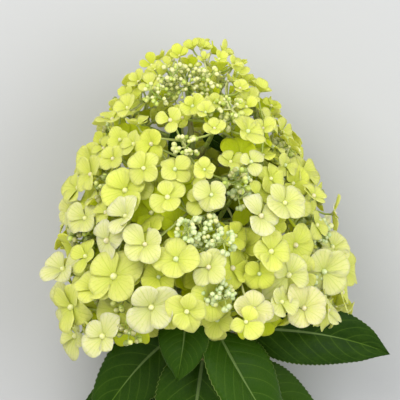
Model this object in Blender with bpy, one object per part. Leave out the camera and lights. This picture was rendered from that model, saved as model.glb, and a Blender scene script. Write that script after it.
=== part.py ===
"""A cut panicle hydrangea bloom that lies on its back, with the leaves under it.

Lengths are in metres. The stem runs along +Y with the tip of the bloom at its far end, +X is
the right of the bloom seen from above, and +Z is up from the ground that it lies on. Each
branch, each spray of florets and buds, and each leaf is a closed solid of its own.
"""

import math
import random
from collections import namedtuple

import bmesh
import bpy
from mathutils import Matrix, Vector
from mathutils.bvhtree import BVHTree

# The bloom as a whole
BLOOM_LENGTH = 0.205
FULL_HALF_WIDTH = 0.109
SHOULDER_POWER = 2.3
CROWN_POWER = 0.57
AXIS_HEIGHT = 0.083
GROUND_GAP = 0.0002
SEAT_GAP = 0.0004
CENTRE_SHIFT = Vector((-0.0118, -0.0278, 0.0))

# The stem: it leans across the bloom, thickens at the two leaf nodes and is cut flat
STEM_CUT = -0.150
STEM_TOP = 0.150
STEM_FOOT_RADIUS = 0.0046
STEM_TOP_RADIUS = 0.0019
STEM_ACROSS = 0.0074
STEM_LEAN = -0.081
STEM_DROOP = 0.4
STEM_STATIONS = 16
STEM_SIDES = 8
LEAF_NODES = (-0.006, -0.022)
NODE_SWELL = 0.25
NODE_SPAN = 0.008

# Branches and sprays: the height of each tier's feet and bud clusters, and their turns
Tier = namedtuple("Tier", "foot height count first_turn lump")
TIERS = (
    Tier(0.006, 0.034, 6, 8.0, 0.0115),
    Tier(0.034, 0.072, 5, 3.0, 0.0120),
    Tier(0.066, 0.105, 5, 22.0, 0.0100),
    Tier(0.097, 0.131, 4, -6.0, 0.0090),
    Tier(0.120, 0.156, 3, 18.0, 0.0085),
)
FOOT_STAGGER = 0.007
FEET_IN_TURN = 3
PATH_STEPS = 10
BRANCH_STEPS = 4
SPRAY_STEPS = (7, 9, 10)
BRANCH_SAG = 0.15
BRANCH_SIDES = 5
BRANCH_RADIUS = 0.0023
SPRAY_END_RADIUS = 0.0011
CLUSTER_DEPTH = 0.80
TIP_CLUSTER = Vector((-0.006, 0.174, 0.029))
TIP_LUMP = 0.0150
TIP_WINDOW = Vector((0.0, 0.003, 0.012))
WINDOW_SHARE = 0.38

# Florets: four broad sepals in a shallow cup on a thin stalk
FOOT_WIDTH = 0.032
TIP_WIDTH = 0.0160
RIM_POINTS = 16
NOTCH = 0.42
CUP_RISE = 0.0004
CUP_DEPTH = 0.0012
CUP_SLOPE = 0.32
CUP_SPREAD = 0.14
STALK_RADII = (0.0011, 0.0009, 0.0008)
STALK_SIDES = 3
STALK_KNEE = 0.009
KNEE_SHARE = 0.4
LEAST_UPRIGHT = 0.25
LUMP_ROUGHNESS = 0.12
SIDE_LUMP_SHARE = 0.7
LUMP_REACH = 1.3
ROOT_REACHES = (1.2, 1.6, 2.1, 2.7)
EYE_SHARE = 0.3
FIRST_HEIGHT = 0.006
FOOT_HEIGHT = 0.009
FOOT_TILT = 0.11
DEPTHS = (0.86, 1.06)
SIDE_WANDER = 0.35
FACING_STRAY = 0.55
FACE_STRAY = 0.38
TIP_THINNING = 2.2
OUTER_CROWDING = 0.95
INNER_CROWDING = 4.0
INNER_DEPTH = 0.70
GOLDEN_TURN = math.pi * (3.0 - math.sqrt(5.0))
ATTEMPTS = 9
SEED = 53

# The florets that look straight out of the bloom: across, along, width and turn, in millimetres
# and degrees, from the bloom's own centre line and lowest edge
FACE_FLORETS = (
    (-12, 194, 16, 30),
    (5, 191, 12, 0),
    (17, 192, 14, 40),
    (29, 187, 15, 20),
    (-29, 184, 12, 10),
    (32, 171, 15, 60),
    (-42, 176, 19, 60),
    (50, 169, 19, 10),
    (-18, 149, 21, 45),
    (6, 154, 16, 70),
    (35, 141, 26, 0),
    (12, 143, 17, 20),
    (-36, 116, 27, 45),
    (-77, 112, 28, 30),
    (30, 115, 22, 10),
    (10, 98, 23, 50),
    (-49, 101, 36, 20),
    (-20, 96, 28, 30),
    (60, 92, 30, 45),
    (43, 83, 29, 15),
    (-48, 83, 28, 60),
    (-35, 64, 28, 35),
    (-14, 54, 30, 0),
    (8, 49, 27, 40),
    (50, 59, 30, 5),
    (62, 43, 33, 55),
    (-57, 42, 41, 38),
    (-31, 22, 36, 45),
    (-7, 19, 30, 5),
    (14, 13, 32, 30),
    (73, 20, 31, 50),
    (-68, 1, 32, 45),
    (38, 20, 30, 0),
)

# The gaps between the florets in front that let an inner leaf or the stem show: across and
# along, in millimetres
GAPS = ((-21, 140), (-10, 137), (3, 130), (16, 131), (14, 108), (17, 89))
GAP_RADIUS = 0.004

# Leaves: where the stalk leaves the stem, the blade's root, middle and tip, its width and its
# facing, in millimetres from the bloom's centre line, lowest edge and the ground
Leaf = namedtuple("Leaf", "name foot root middle tip width facing")
LEAVES = (
    Leaf("leaf_right", -4, (33, 4, 72), (91, 5, 84), (136, -14, 52), 47, (0.1, -0.1, 1.0)),
    Leaf("leaf_left", -6, (-14, 0, 80), (-42, -15, 88), (-76, -72, 42), 52, (-0.3, 0.1, 1.0)),
    Leaf("leaf_small", -2, (-8, 17, 104), (-8, -3, 134), (-14, -31, 116), 37, (-0.1, -0.2, 1.0)),
    Leaf("leaf_front", -15, (5, -8, 95), (-1, -54, 102), (-12, -118, 69), 60, (0.0, 0.0, 1.0)),
    Leaf("leaf_low", -6, (14, 4, 101), (27, -24, 124), (70, -92, 66), 56, (0.9, 0.1, 1.0)),
    Leaf("leaf_under", -30, (26, -32, 58), (56, -36, 44), (98, -82, 10), 42, (0.3, 0.1, 1.0)),
    Leaf("leaf_back_left", -18, (-8, -24, 66), (-34, -26, 46), (-88, -62, 8), 42, (-0.3, 0.0, 1.0)),
    Leaf("leaf_back", -32, (-2, -44, 54), (-8, -74, 30), (2, -132, 6), 44, (0.0, 0.1, 1.0)),
    Leaf("bract_left", 114, (-9, 119, 87), (-19, 130, 93), (-12, 152, 94), 12, (0.0, 0.0, 1.0)),
    Leaf("bract_right", 143, (4, 140, 75), (14, 137, 74), (28, 124, 71), 11, (0.1, 0.0, 1.0)),
    Leaf("bract_low", 84, (8, 86, 74), (18, 88, 76), (30, 83, 72), 10, (0.0, 0.0, 1.0)),
)
LEAF_STATIONS = 8
LEAF_FOLD = 0.22
LEAF_THICKNESS = 0.012
LEAF_ROOT_POWER = 0.50
LEAF_TIP_POWER = 0.85
LEAF_LEAST_WIDTH = 0.09
LEAF_STALK_RADIUS = 0.040
LEAF_STALK_SIDES = 5
LEAF_STALK_REACH = 0.12

MILLIMETRE = 0.001
UP = Vector((0.0, 0.0, 1.0))

Finish = namedtuple("Finish", "colour roughness")
STEM_FINISH = Finish((0.20, 0.24, 0.05, 1.0), 0.6)
SPRAY_FINISH = Finish((0.58, 0.66, 0.17, 1.0), 0.7)
LEAF_FINISH = Finish((0.04, 0.10, 0.02, 1.0), 0.45)


def half_width(height):
    """The bloom's half width at a height along it: full at the foot, a dome at the tip."""
    share = min(max(height / BLOOM_LENGTH, 0.0), 0.995)
    return FULL_HALF_WIDTH * (1.0 - share**SHOULDER_POWER) ** CROWN_POWER


def on_dome(height, turn, inset, depth=1.0):
    """A point on the bloom's surface, and the way out of it there."""
    step = 0.004
    radius = max(half_width(height) - inset, 0.002) * depth
    slope = (half_width(height - step) - half_width(height + step)) / (2.0 * step)
    ray = Vector((math.sin(turn), 0.0, math.cos(turn)))
    outward = (ray + Vector((0.0, min(slope, 3.0), 0.0))).normalized()
    point = Vector((ray.x * radius, height, AXIS_HEIGHT + ray.z * radius))
    return point, outward


def stem_point(height):
    """The middle of the stem at a height along the bloom."""
    droop = STEM_DROOP * min(height, 0.0) ** 2
    return Vector((STEM_ACROSS + STEM_LEAN * height, height, AXIS_HEIGHT - droop))


def stem_radius(height):
    """The stem's radius, which swells where the leaves leave it."""
    share = (height - STEM_CUT) / (STEM_TOP - STEM_CUT)
    radius = STEM_FOOT_RADIUS + (STEM_TOP_RADIUS - STEM_FOOT_RADIUS) * share
    swell = sum(math.exp(-(((height - node) / NODE_SPAN) ** 2)) for node in LEAF_NODES)
    return radius * (1.0 + NODE_SWELL * swell)


def curve_point(start, middle, end, share):
    """A point on the curve from start to end that is drawn towards middle."""
    back = 1.0 - share
    return start * back * back + middle * 2.0 * share * back + end * share * share


def ring_places(points, radii, first_facing=None):
    """The place of each ring along a limb: square to its way there, with no twist between."""
    facings = [points[1] - points[0]]
    for before, after in zip(points, points[2:]):
        facings.append(after - before)
    facings.append(points[-1] - points[-2])
    if first_facing is not None:
        facings[0] = first_facing
    turn = UP.rotation_difference(facings[0])
    places = []
    for i, (point, radius) in enumerate(zip(points, radii)):
        if i > 0:
            turn = facings[i - 1].rotation_difference(facings[i]) @ turn
        places.append(Matrix.LocRotScale(point, turn, Vector((radius, radius, radius))))
    return places


def limb_mesh(points, radii, sides, first_facing=None):
    """A tapering limb: a ring of sides that is extruded to each next point in turn."""
    places = ring_places(points, radii, first_facing)
    limb = bmesh.new()
    bmesh.ops.create_circle(limb, cap_ends=True, segments=sides, radius=1.0, matrix=places[0])
    cap = list(limb.faces)
    for place, next_place in zip(places, places[1:]):
        grown = bmesh.ops.extrude_face_region(limb, geom=cap)["geom"]
        if place is not places[0]:
            bmesh.ops.delete(limb, geom=cap, context="FACES_ONLY")
        cap = [item for item in grown if isinstance(item, bmesh.types.BMFace)]
        corners = [item for item in grown if isinstance(item, bmesh.types.BMVert)]
        bmesh.ops.transform(limb, matrix=next_place @ place.inverted(), verts=corners)
    bmesh.ops.recalc_face_normals(limb, faces=limb.faces)
    return limb


def cup_mesh(bloom):
    """The cup of a floret: a flat ball with four lobes, whose rim follows the sepals."""
    cup = bmesh.new()
    bmesh.ops.create_uvsphere(cup, u_segments=RIM_POINTS, v_segments=2, radius=1.0)
    for corner in cup.verts:
        if corner.co.z > 0.5:
            corner.co = Vector((0.0, 0.0, CUP_RISE))
        elif corner.co.z < -0.5:
            corner.co = Vector((0.0, 0.0, -CUP_DEPTH))
        else:
            lobe = math.sqrt(abs(math.cos(2.0 * math.atan2(corner.co.y, corner.co.x))))
            reach = 0.5 * bloom.width * (NOTCH + (1.0 - NOTCH) * lobe)
            corner.co = Vector((corner.co.x * reach, corner.co.y * reach, bloom.slope * reach))
    spin = Matrix.Rotation(bloom.turn, 4, "Z")
    lean = UP.rotation_difference(bloom.facing).to_matrix().to_4x4()
    cup.transform(Matrix.Translation(bloom.place) @ lean @ spin)
    return cup


def floret_mesh(bloom, points):
    """A floret as one shape: its stalk is sewn to the cup where the cup's lowest point was."""
    floret = cup_mesh(bloom)
    low = min(floret.verts, key=lambda corner: (corner.co - bloom.place).dot(bloom.facing))
    loops = [loop for face in low.link_faces for loop in face.loops]
    leaving = [loop for loop in loops if loop.link_loop_prev.vert is low]
    following = {loop.vert: loop.link_loop_next.vert for loop in leaving}
    around = [leaving[0].vert]
    while len(around) < len(leaving):
        around.append(following[around[-1]])
    bmesh.ops.delete(floret, geom=[low], context="VERTS")
    rings = []
    for place in ring_places(points, STALK_RADII):
        turns = [2.0 * math.pi * i / STALK_SIDES for i in range(STALK_SIDES)]
        ring = [place @ Vector((math.cos(turn), math.sin(turn), 0.0)) for turn in turns]
        rings.append([floret.verts.new(corner) for corner in ring])
    floret.faces.new(rings[0])
    for lower, upper in zip(rings, rings[1:]):
        for i in range(STALK_SIDES):
            floret.faces.new((lower[i - 1], lower[i], upper[i], upper[i - 1]))
    sew_rings(floret, points[-1], rings[-1], around)
    bmesh.ops.recalc_face_normals(floret, faces=floret.faces)
    return floret


def sew_rings(shape, centre, inner, outer):
    """Joins a ring of few corners to a ring of many: each outer edge to the inner corner it faces."""
    nearest = []
    for corner, following in zip(outer, outer[1:] + outer[:1]):
        ray = corner.co.lerp(following.co, 0.5) - centre
        nearest.append(max(inner, key=lambda root: (root.co - centre).dot(ray)))
    for i, corner in enumerate(outer):
        following = outer[(i + 1) % len(outer)]
        beyond = nearest[(i + 1) % len(outer)]
        shape.faces.new((corner, following, nearest[i]))
        if beyond is not nearest[i]:
            shape.faces.new((following, beyond, nearest[i]))


def lump_mesh(place, radius, dice):
    """A cluster of closed buds: a ball with an uneven surface."""
    lump = bmesh.new()
    bmesh.ops.create_icosphere(lump, subdivisions=1, radius=radius)
    for corner in lump.verts:
        corner.co *= 1.0 + LUMP_ROUGHNESS * dice.uniform(-1.0, 1.0)
    lump.transform(Matrix.Translation(place))
    return lump


def blade_width(share):
    """A leaf's width at a share of its length, as a share of its full width."""
    fullest = LEAF_ROOT_POWER / (LEAF_ROOT_POWER + LEAF_TIP_POWER)
    full = fullest**LEAF_ROOT_POWER * (1.0 - fullest) ** LEAF_TIP_POWER
    width = share**LEAF_ROOT_POWER * (1.0 - share) ** LEAF_TIP_POWER / full
    return max(width, LEAF_LEAST_WIDTH)


def blade_mesh(leaf):
    """A leaf's blade: a grid bent along the leaf's curve, folded at its midrib and thickened."""
    root, middle, tip = (Vector(point) * MILLIMETRE for point in (leaf.root, leaf.middle, leaf.tip))
    width = leaf.width * MILLIMETRE
    facing = Vector(leaf.facing).normalized()
    blade = bmesh.new()
    bmesh.ops.create_grid(blade, x_segments=LEAF_STATIONS, y_segments=2, size=1.0)
    for corner in blade.verts:
        share = 0.5 * (corner.co.x + 1.0)
        along = (middle - root) * (1.0 - share) + (tip - middle) * share
        across = facing.cross(along).normalized()
        lift = along.cross(across).normalized()
        reach = 0.5 * width * blade_width(share)
        point = curve_point(root, middle, tip, share)
        side = corner.co.y * reach
        corner.co = point + across * side + lift * abs(side) * LEAF_FOLD
    bmesh.ops.solidify(blade, geom=blade.faces[:], thickness=LEAF_THICKNESS * (tip - root).length)
    bmesh.ops.recalc_face_normals(blade, faces=blade.faces)
    return blade


def leaf_stalk_mesh(leaf):
    """A leaf's stalk, from just clear of the stem to inside the root of the blade."""
    root, middle, tip = (Vector(point) * MILLIMETRE for point in (leaf.root, leaf.middle, leaf.tip))
    foot_height = leaf.foot * MILLIMETRE
    out = root - stem_point(foot_height)
    out.y = 0.0
    out.normalize()
    foot = stem_point(foot_height) + out * (stem_radius(foot_height) + SEAT_GAP)
    inside = curve_point(root, middle, tip, LEAF_STALK_REACH)
    thickness = LEAF_THICKNESS * (tip - root).length
    lift = (inside - root).cross(Vector(leaf.facing)).cross(inside - root).normalized()
    radius = LEAF_STALK_RADIUS * leaf.width * MILLIMETRE
    bend = curve_point(foot, foot.lerp(root, 0.5) + out * 0.15 * (root - foot).length, root, 0.5)
    points = [foot, bend, root - lift * 0.3 * thickness, inside]
    radii = [radius * 1.3, radius, radius, 0.7 * radius]
    return limb_mesh(points, radii, LEAF_STALK_SIDES, out)


Bloom = namedtuple("Bloom", "place facing turn width slope")


class Piece:
    """One closed shape of a node, and what is needed to test it against the others."""

    def __init__(self, node, kind, mesh):
        self.node = node
        self.kind = kind
        self.mesh = mesh
        self.solid = mesh
        self.tree = BVHTree.FromBMesh(mesh)
        self.middle = sum((corner.co for corner in mesh.verts), Vector()) / len(mesh.verts)
        self.reach = max((corner.co - self.middle).length for corner in mesh.verts)
        grown = mesh.copy()
        grown.normal_update()
        for corner in grown.verts:
            corner.co += corner.normal * SEAT_GAP
        self.grown_tree = BVHTree.FromBMesh(grown)
        grown.free()

    def meets(self, other):
        """Tells whether the other piece is nearer than the gap that all nodes keep."""
        if (self.middle - other.middle).length > self.reach + other.reach + SEAT_GAP:
            return False
        return bool(self.grown_tree.overlap(other.tree))


class Spray:
    """One stem with florets and buds, which ends a branch or the main stem."""

    def __init__(self, node, points, lump, window):
        self.node = node
        self.points = points
        self.lump = lump
        self.window = window
        self.roots = [self.point_back(reach * lump) for reach in ROOT_REACHES]

    def point_back(self, distance):
        """The point on the stem at a distance back from its end."""
        for end, start in zip(self.points[::-1], self.points[-2::-1]):
            length = (end - start).length
            if distance <= length:
                return end.lerp(start, distance / length)
            distance -= length
        return self.points[0].lerp(self.points[1], 0.2)

    def is_hidden_by(self, place, width):
        """Tells whether a floret there would hide a cluster that shows between the florets."""
        if self.window is None:
            return False
        return (self.window - place).length < self.lump + WINDOW_SHARE * width

    def nearest_roots(self, place):
        """The best places on the spray for a stalk that ends at place, nearest first."""
        return sorted(self.roots, key=lambda root: (root - place).length)[:3]


def branch_path(tier, number, turn):
    """The points from the main stem out to the bud cluster of one branch."""
    cluster = on_dome(tier.height, turn, 0.0, CLUSTER_DEPTH)[0]
    cluster.z = max(cluster.z, LUMP_REACH * tier.lump)
    ray = Vector((math.sin(turn), 0.0, math.cos(turn)))
    foot_height = tier.foot + FOOT_STAGGER * (number % FEET_IN_TURN)
    foot = stem_point(foot_height) + ray * (stem_radius(foot_height) + SEAT_GAP)
    sag = Vector((0.0, BRANCH_SAG * (tier.height - foot_height), 0.0))
    middle = foot.lerp(cluster, 0.5) - sag
    shares = [step / PATH_STEPS for step in range(PATH_STEPS + 1)]
    return ray, [curve_point(foot, middle, cluster, share) for share in shares]


def grow_branches(pieces):
    """Adds the branches and the stems of the sprays that they carry."""
    sprays = []
    for level, tier in enumerate(TIERS, 1):
        for number in range(tier.count):
            turn = math.radians(tier.first_turn + 360.0 * number / tier.count)
            ray, path = branch_path(tier, number, turn)
            name = f"{level}_{number + 1}"
            points = path[:BRANCH_STEPS + 1:2]
            pieces.append(Piece(f"branch_{name}", "limb", branch_mesh(points, ray)))
            ahead = (points[-1] - points[-2]).normalized()
            points = [points[-1] + ahead * SEAT_GAP] + [path[step] for step in SPRAY_STEPS]
            window = on_dome(tier.height, turn, 0.0)[0] if number % 2 == 0 else None
            spray = Spray(f"spray_{name}", points, tier.lump, window)
            pieces.append(Piece(spray.node, "stem", spray_stem_mesh(points, ahead)))
            sprays.append(spray)
    return sprays


def branch_mesh(points, ray):
    """One branch, thickest at its foot."""
    end = branch_end_radius()
    return limb_mesh(points, [BRANCH_RADIUS, 0.5 * (BRANCH_RADIUS + end), end], BRANCH_SIDES, ray)


def branch_end_radius():
    """The radius where a branch ends and its spray goes on."""
    return BRANCH_RADIUS + (SPRAY_END_RADIUS - BRANCH_RADIUS) * BRANCH_STEPS / PATH_STEPS


def spray_stem_mesh(points, ahead):
    """The stem of a spray, which goes on from its branch and thins towards the buds."""
    start = branch_end_radius()
    steps = len(points) - 1
    radii = [start + (SPRAY_END_RADIUS - start) * i / steps for i in range(len(points))]
    return limb_mesh(points, radii, BRANCH_SIDES, ahead)


def grow_tip(pieces):
    """Adds the stem of the spray at the very tip, which goes on from the main stem."""
    top = stem_point(STEM_TOP)
    ahead = (top - stem_point(STEM_TOP - 0.01)).normalized()
    start = top + ahead * SEAT_GAP
    end = TIP_CLUSTER + Vector((0.0, 0.0, AXIS_HEIGHT))
    points = [start, start.lerp(end, 0.35), start.lerp(end, 0.7), end]
    spray = Spray("spray_tip", points, TIP_LUMP, end + TIP_WINDOW)
    pieces.append(Piece(spray.node, "stem", spray_stem_mesh(points, ahead)))
    return spray


def grow_stem(pieces):
    """Adds the main stem, from its flat cut to where the tip spray goes on from it."""
    heights = [STEM_CUT + (STEM_TOP - STEM_CUT) * i / STEM_STATIONS for i in range(STEM_STATIONS + 1)]
    points = [stem_point(height) for height in heights]
    radii = [stem_radius(height) for height in heights]
    pieces.append(Piece("stem", "limb", limb_mesh(points, radii, STEM_SIDES)))


def grow_leaves(pieces):
    """Adds each leaf's stalk and blade."""
    for leaf in LEAVES:
        pieces.append(Piece(leaf.name, "limb", leaf_stalk_mesh(leaf)))
        pieces.append(Piece(leaf.name, "limb", blade_mesh(leaf)))


def is_free(piece, pieces, own_kinds):
    """Tells whether a piece keeps clear of all others, but for its own node's given kinds."""
    for other in pieces:
        if other.node == piece.node and other.kind in own_kinds:
            continue
        if piece.meets(other):
            return False
    return True


def above_ground(mesh):
    """Lifts a shape that would reach into the ground, and gives how far it went up."""
    lift = max(GROUND_GAP - min(corner.co.z for corner in mesh.verts), 0.0)
    mesh.transform(Matrix.Translation((0.0, 0.0, lift)))
    return lift


def grow_lumps(sprays, pieces, dice):
    """Adds a cluster of buds at the end of each spray, and a smaller one beside it."""
    for spray in sprays:
        end = spray.points[-1]
        pieces.append(Piece(spray.node, "buds", lump_mesh(end, spray.lump, dice)))
        aside = Vector((dice.uniform(-1, 1), dice.uniform(-1, 1), dice.uniform(-0.3, 0.6)))
        place = end + aside.normalized() * spray.lump
        place.z = max(place.z, end.z)
        side = Piece(spray.node, "buds", lump_mesh(place, SIDE_LUMP_SHARE * spray.lump, dice))
        if is_free(side, pieces, ("stem", "buds")):
            pieces.append(side)


def stalk_points(root, bloom):
    """A stalk's way from its root to the back of its floret, with a knee under the floret."""
    knee = bloom.place - bloom.facing * min(STALK_KNEE, KNEE_SHARE * (bloom.place - root).length)
    return [root, knee, bloom.place - bloom.facing * CUP_DEPTH]


def try_floret(sprays, pieces, bloom):
    """Adds a floret with its stalk to the nearest spray that has room, and tells if one had."""
    cup = cup_mesh(bloom)
    bloom = bloom._replace(place=bloom.place + Vector((0.0, 0.0, above_ground(cup))))
    by_distance = sorted(sprays, key=lambda spray: (spray.points[-1] - bloom.place).length)
    for spray in by_distance[:2]:
        floret = Piece(spray.node, "floret", cup)
        if not is_free(floret, pieces, ()):
            continue
        for root in spray.nearest_roots(bloom.place):
            if (bloom.place - root).normalized().dot(bloom.facing) < LEAST_UPRIGHT:
                continue
            points = stalk_points(root, bloom)
            stalk = Piece(spray.node, "stalk", limb_mesh(points, STALK_RADII, STALK_SIDES))
            if is_free(stalk, pieces, ("stem", "stalk")):
                stalk.solid = None
                floret.solid = floret_mesh(bloom, points)
                pieces.extend((stalk, floret))
                spray.roots.append(points[0].lerp(points[1], 0.5))
                return True
    return False


def floret_width(height):
    """The usual width of a floret at a height along the bloom: they are younger at the tip."""
    share = min(max(height / BLOOM_LENGTH, 0.0), 1.0)
    return FOOT_WIDTH + (TIP_WIDTH - FOOT_WIDTH) * share**1.6


def grow_faces(sprays, pieces, dice):
    """Adds the florets that look straight out of the bloom."""
    for across, height, width, degrees in FACE_FLORETS:
        across, height, width = (size * MILLIMETRE for size in (across, height, width))
        radius = half_width(height) - EYE_SHARE * width
        turn = math.asin(min(max(across / radius, -1.0), 1.0))
        for attempt in range(ATTEMPTS):
            depth = 1.0 - 0.03 * attempt
            place, outward = on_dome(height, turn, EYE_SHARE * width, depth)
            place.x = across
            stray = Vector((dice.uniform(-1, 1), dice.uniform(-1, 1), dice.uniform(-1, 1)))
            facing = (outward + FACE_STRAY * stray + Vector((0.0, 0.1, 0.4))).normalized()
            slope = CUP_SLOPE + CUP_SPREAD * dice.uniform(-1.0, 1.0)
            spin = math.radians(degrees + 6.0 * attempt)
            bloom = Bloom(place, facing, spin, width * (1.0 - 0.02 * attempt), slope)
            if try_floret(sprays, pieces, bloom):
                break


def closes_gap(place, width):
    """Tells whether a floret there would close one of the gaps in front."""
    if place.z < AXIS_HEIGHT:
        return False
    spot = place.to_2d()
    reach = GAP_RADIUS + WINDOW_SHARE * width
    return any((Vector(gap) * MILLIMETRE - spot).length < reach for gap in GAPS)


def grow_layer(sprays, pieces, dice, crowding, layer_depth):
    """Adds florets along a spiral over the whole bloom, wherever there is room for one."""
    height = FIRST_HEIGHT
    number = 0
    while height < BLOOM_LENGTH:
        width = floret_width(height)
        radius = max(half_width(height) - EYE_SHARE * width, 0.006) * layer_depth
        thinning = 1.0 + TIP_THINNING * max(height / BLOOM_LENGTH, 0.0) ** 2
        height += crowding * thinning * width * width / (2.0 * math.pi * radius)
        number += 1
        for attempt in range(ATTEMPTS):
            turn = number * GOLDEN_TURN + dice.uniform(-1.0, 1.0) * SIDE_WANDER * width / radius
            along = height + dice.uniform(-1.0, 1.0) * SIDE_WANDER * width
            foot = FOOT_HEIGHT + FOOT_TILT * radius * math.sin(turn)
            along = min(max(along, foot), BLOOM_LENGTH - EYE_SHARE * width)
            depth = layer_depth * dice.uniform(*DEPTHS)
            place, outward = on_dome(along, turn, EYE_SHARE * width, depth)
            if closes_gap(place, width) or any(spray.is_hidden_by(place, width) for spray in sprays):
                continue
            stray = Vector((dice.uniform(-1, 1), dice.uniform(-1, 1), dice.uniform(-1, 1)))
            facing = (outward + FACING_STRAY * stray + Vector((0.0, 0.15, 0.12))).normalized()
            spin = dice.uniform(0.0, 0.5 * math.pi)
            size = width * dice.uniform(0.82, 1.12) * (1.0 - 0.03 * attempt)
            slope = CUP_SLOPE + CUP_SPREAD * dice.uniform(-1.0, 1.0)
            if try_floret(sprays, pieces, Bloom(place, facing, spin, size, slope)):
                break


def grow_plant():
    """Grows the whole plant and gives its pieces, each with the name of its node."""
    dice = random.Random(SEED)
    pieces = []
    grow_stem(pieces)
    sprays = grow_branches(pieces)
    sprays.append(grow_tip(pieces))
    grow_leaves(pieces)
    grow_lumps(sprays, pieces, dice)
    grow_faces(sprays, pieces, dice)
    grow_layer(sprays, pieces, dice, OUTER_CROWDING, 1.0)
    grow_layer(sprays, pieces, dice, INNER_CROWDING, INNER_DEPTH)
    return pieces


def finish_for(name):
    """The plain finish of a node, by what it is."""
    if name.startswith("spray"):
        return SPRAY_FINISH
    if name.startswith(("leaf", "bract")):
        return LEAF_FINISH
    return STEM_FINISH


def add_material(thing):
    """Gives an object a plain material of its own."""
    finish = finish_for(thing.name)
    material = bpy.data.materials.new(thing.name)
    material.use_nodes = True
    shader = material.node_tree.nodes["Principled BSDF"]
    shader.inputs["Base Color"].default_value = finish.colour
    shader.inputs["Roughness"].default_value = finish.roughness
    thing.data.materials.append(material)


def add_object(name, shape):
    """Makes an object from a shape, moved to where the plant's frame has its origin."""
    mesh = bpy.data.meshes.new(name)
    shape.transform(Matrix.Translation(CENTRE_SHIFT))
    shape.to_mesh(mesh)
    shape.free()
    thing = bpy.data.objects.new(name, mesh)
    bpy.context.scene.collection.objects.link(thing)
    return thing


def shells_of(shape):
    """The sets of faces that hang together by their edges."""
    left = set(shape.faces)
    shells = []
    while left:
        waiting = [left.pop()]
        shell = []
        while waiting:
            face = waiting.pop()
            shell.append(face)
            near = {other for edge in face.edges for other in edge.link_faces} & left
            left -= near
            waiting.extend(near)
        shells.append(shell)
    return shells


def keep_main_shell(thing):
    """Keeps an object's widest shell, so a sealed hollow is filled and a loose scrap dropped."""
    shape = bmesh.new()
    shape.from_mesh(thing.data)
    for shell in sorted(shells_of(shape), key=len)[:-1]:
        bmesh.ops.delete(shape, geom=shell, context="FACES")
    shape.to_mesh(thing.data)
    shape.free()


def join_pieces(name, shapes):
    """Joins the closed shapes of one node into one solid with a Boolean union."""
    thing = add_object(name, shapes[0])
    if len(shapes) > 1:
        group = bpy.data.collections.new(name + "_parts")
        bpy.context.scene.collection.children.link(group)
        for number, shape in enumerate(shapes[1:], 1):
            other = add_object(f"{name}_part_{number}", shape)
            bpy.context.scene.collection.objects.unlink(other)
            group.objects.link(other)
        union = thing.modifiers.new("union", "BOOLEAN")
        union.operation = "UNION"
        union.operand_type = "COLLECTION"
        union.solver = "MANIFOLD"
        union.collection = group
        with bpy.context.temp_override(object=thing):
            bpy.ops.object.modifier_apply(modifier=union.name)
        for other in list(group.objects):
            bpy.data.objects.remove(other)
        bpy.data.collections.remove(group)
        keep_main_shell(thing)
    add_material(thing)


def main():
    """Clears the scene and builds every node of the plant in it."""
    for old in list(bpy.data.objects):
        bpy.data.objects.remove(old)
    pieces = grow_plant()
    names = list(dict.fromkeys(piece.node for piece in pieces))
    for name in names:
        join_pieces(name, [piece.solid for piece in pieces if piece.node == name and piece.solid])


main()
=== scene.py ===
"""A cut panicle hydrangea bloom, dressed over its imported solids.

The bloom lies on its back under a camera that looks straight down on it. Each branch, spray and
leaf grows again by the rule that shaped its solid, and the rule is then carried on to finer
twigs, small buds and more florets. The bloom's sides are drawn in a little at the end. Lengths
are in metres, +Y runs along the stem to the tip of the bloom, and +Z is up from the floor.
"""

import math
import random
from collections import namedtuple

import bmesh
import bpy
import numpy as np
from mathutils import Matrix, Vector
from mathutils.bvhtree import BVHTree


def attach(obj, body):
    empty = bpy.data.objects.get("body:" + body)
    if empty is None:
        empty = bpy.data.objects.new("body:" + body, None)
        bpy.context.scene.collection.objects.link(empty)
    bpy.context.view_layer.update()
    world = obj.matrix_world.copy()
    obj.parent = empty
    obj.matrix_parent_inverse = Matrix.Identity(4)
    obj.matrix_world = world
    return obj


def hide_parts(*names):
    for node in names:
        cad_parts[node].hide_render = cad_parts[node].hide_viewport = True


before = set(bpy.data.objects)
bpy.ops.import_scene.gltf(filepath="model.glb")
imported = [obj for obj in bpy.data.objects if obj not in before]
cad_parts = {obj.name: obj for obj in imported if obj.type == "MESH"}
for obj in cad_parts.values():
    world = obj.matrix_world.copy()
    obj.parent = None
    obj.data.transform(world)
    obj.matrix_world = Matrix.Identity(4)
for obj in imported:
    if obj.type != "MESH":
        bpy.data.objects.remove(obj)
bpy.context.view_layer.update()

# The bloom as a whole
BLOOM_LENGTH = 0.205
FULL_HALF_WIDTH = 0.109
SHOULDER_POWER = 2.3
CROWN_POWER = 0.57
LAST_SHARE = 0.995
SLOPE_STEP = 0.004
STEEPEST_SLOPE = 3.0
LEAST_DOME_RADIUS = 0.002
AXIS_HEIGHT = 0.083
GROUND_GAP = 0.0002
SEAT_GAP = 0.0004
CENTRE_SHIFT = Vector((-0.0118, -0.0278, 0.0))

# The stem: it leans across the bloom, thickens at the two leaf nodes and is cut flat
STEM_CUT = -0.150
STEM_TOP = 0.150
STEM_FOOT_RADIUS = 0.0046
STEM_TOP_RADIUS = 0.0019
STEM_ACROSS = 0.0074
STEM_LEAN = -0.081
STEM_DROOP = 0.4
STEM_STATIONS = 16
STEM_SIDES = 8
LEAF_NODES = (-0.006, -0.022)
NODE_SWELL = 0.25
NODE_SPAN = 0.008

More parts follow.
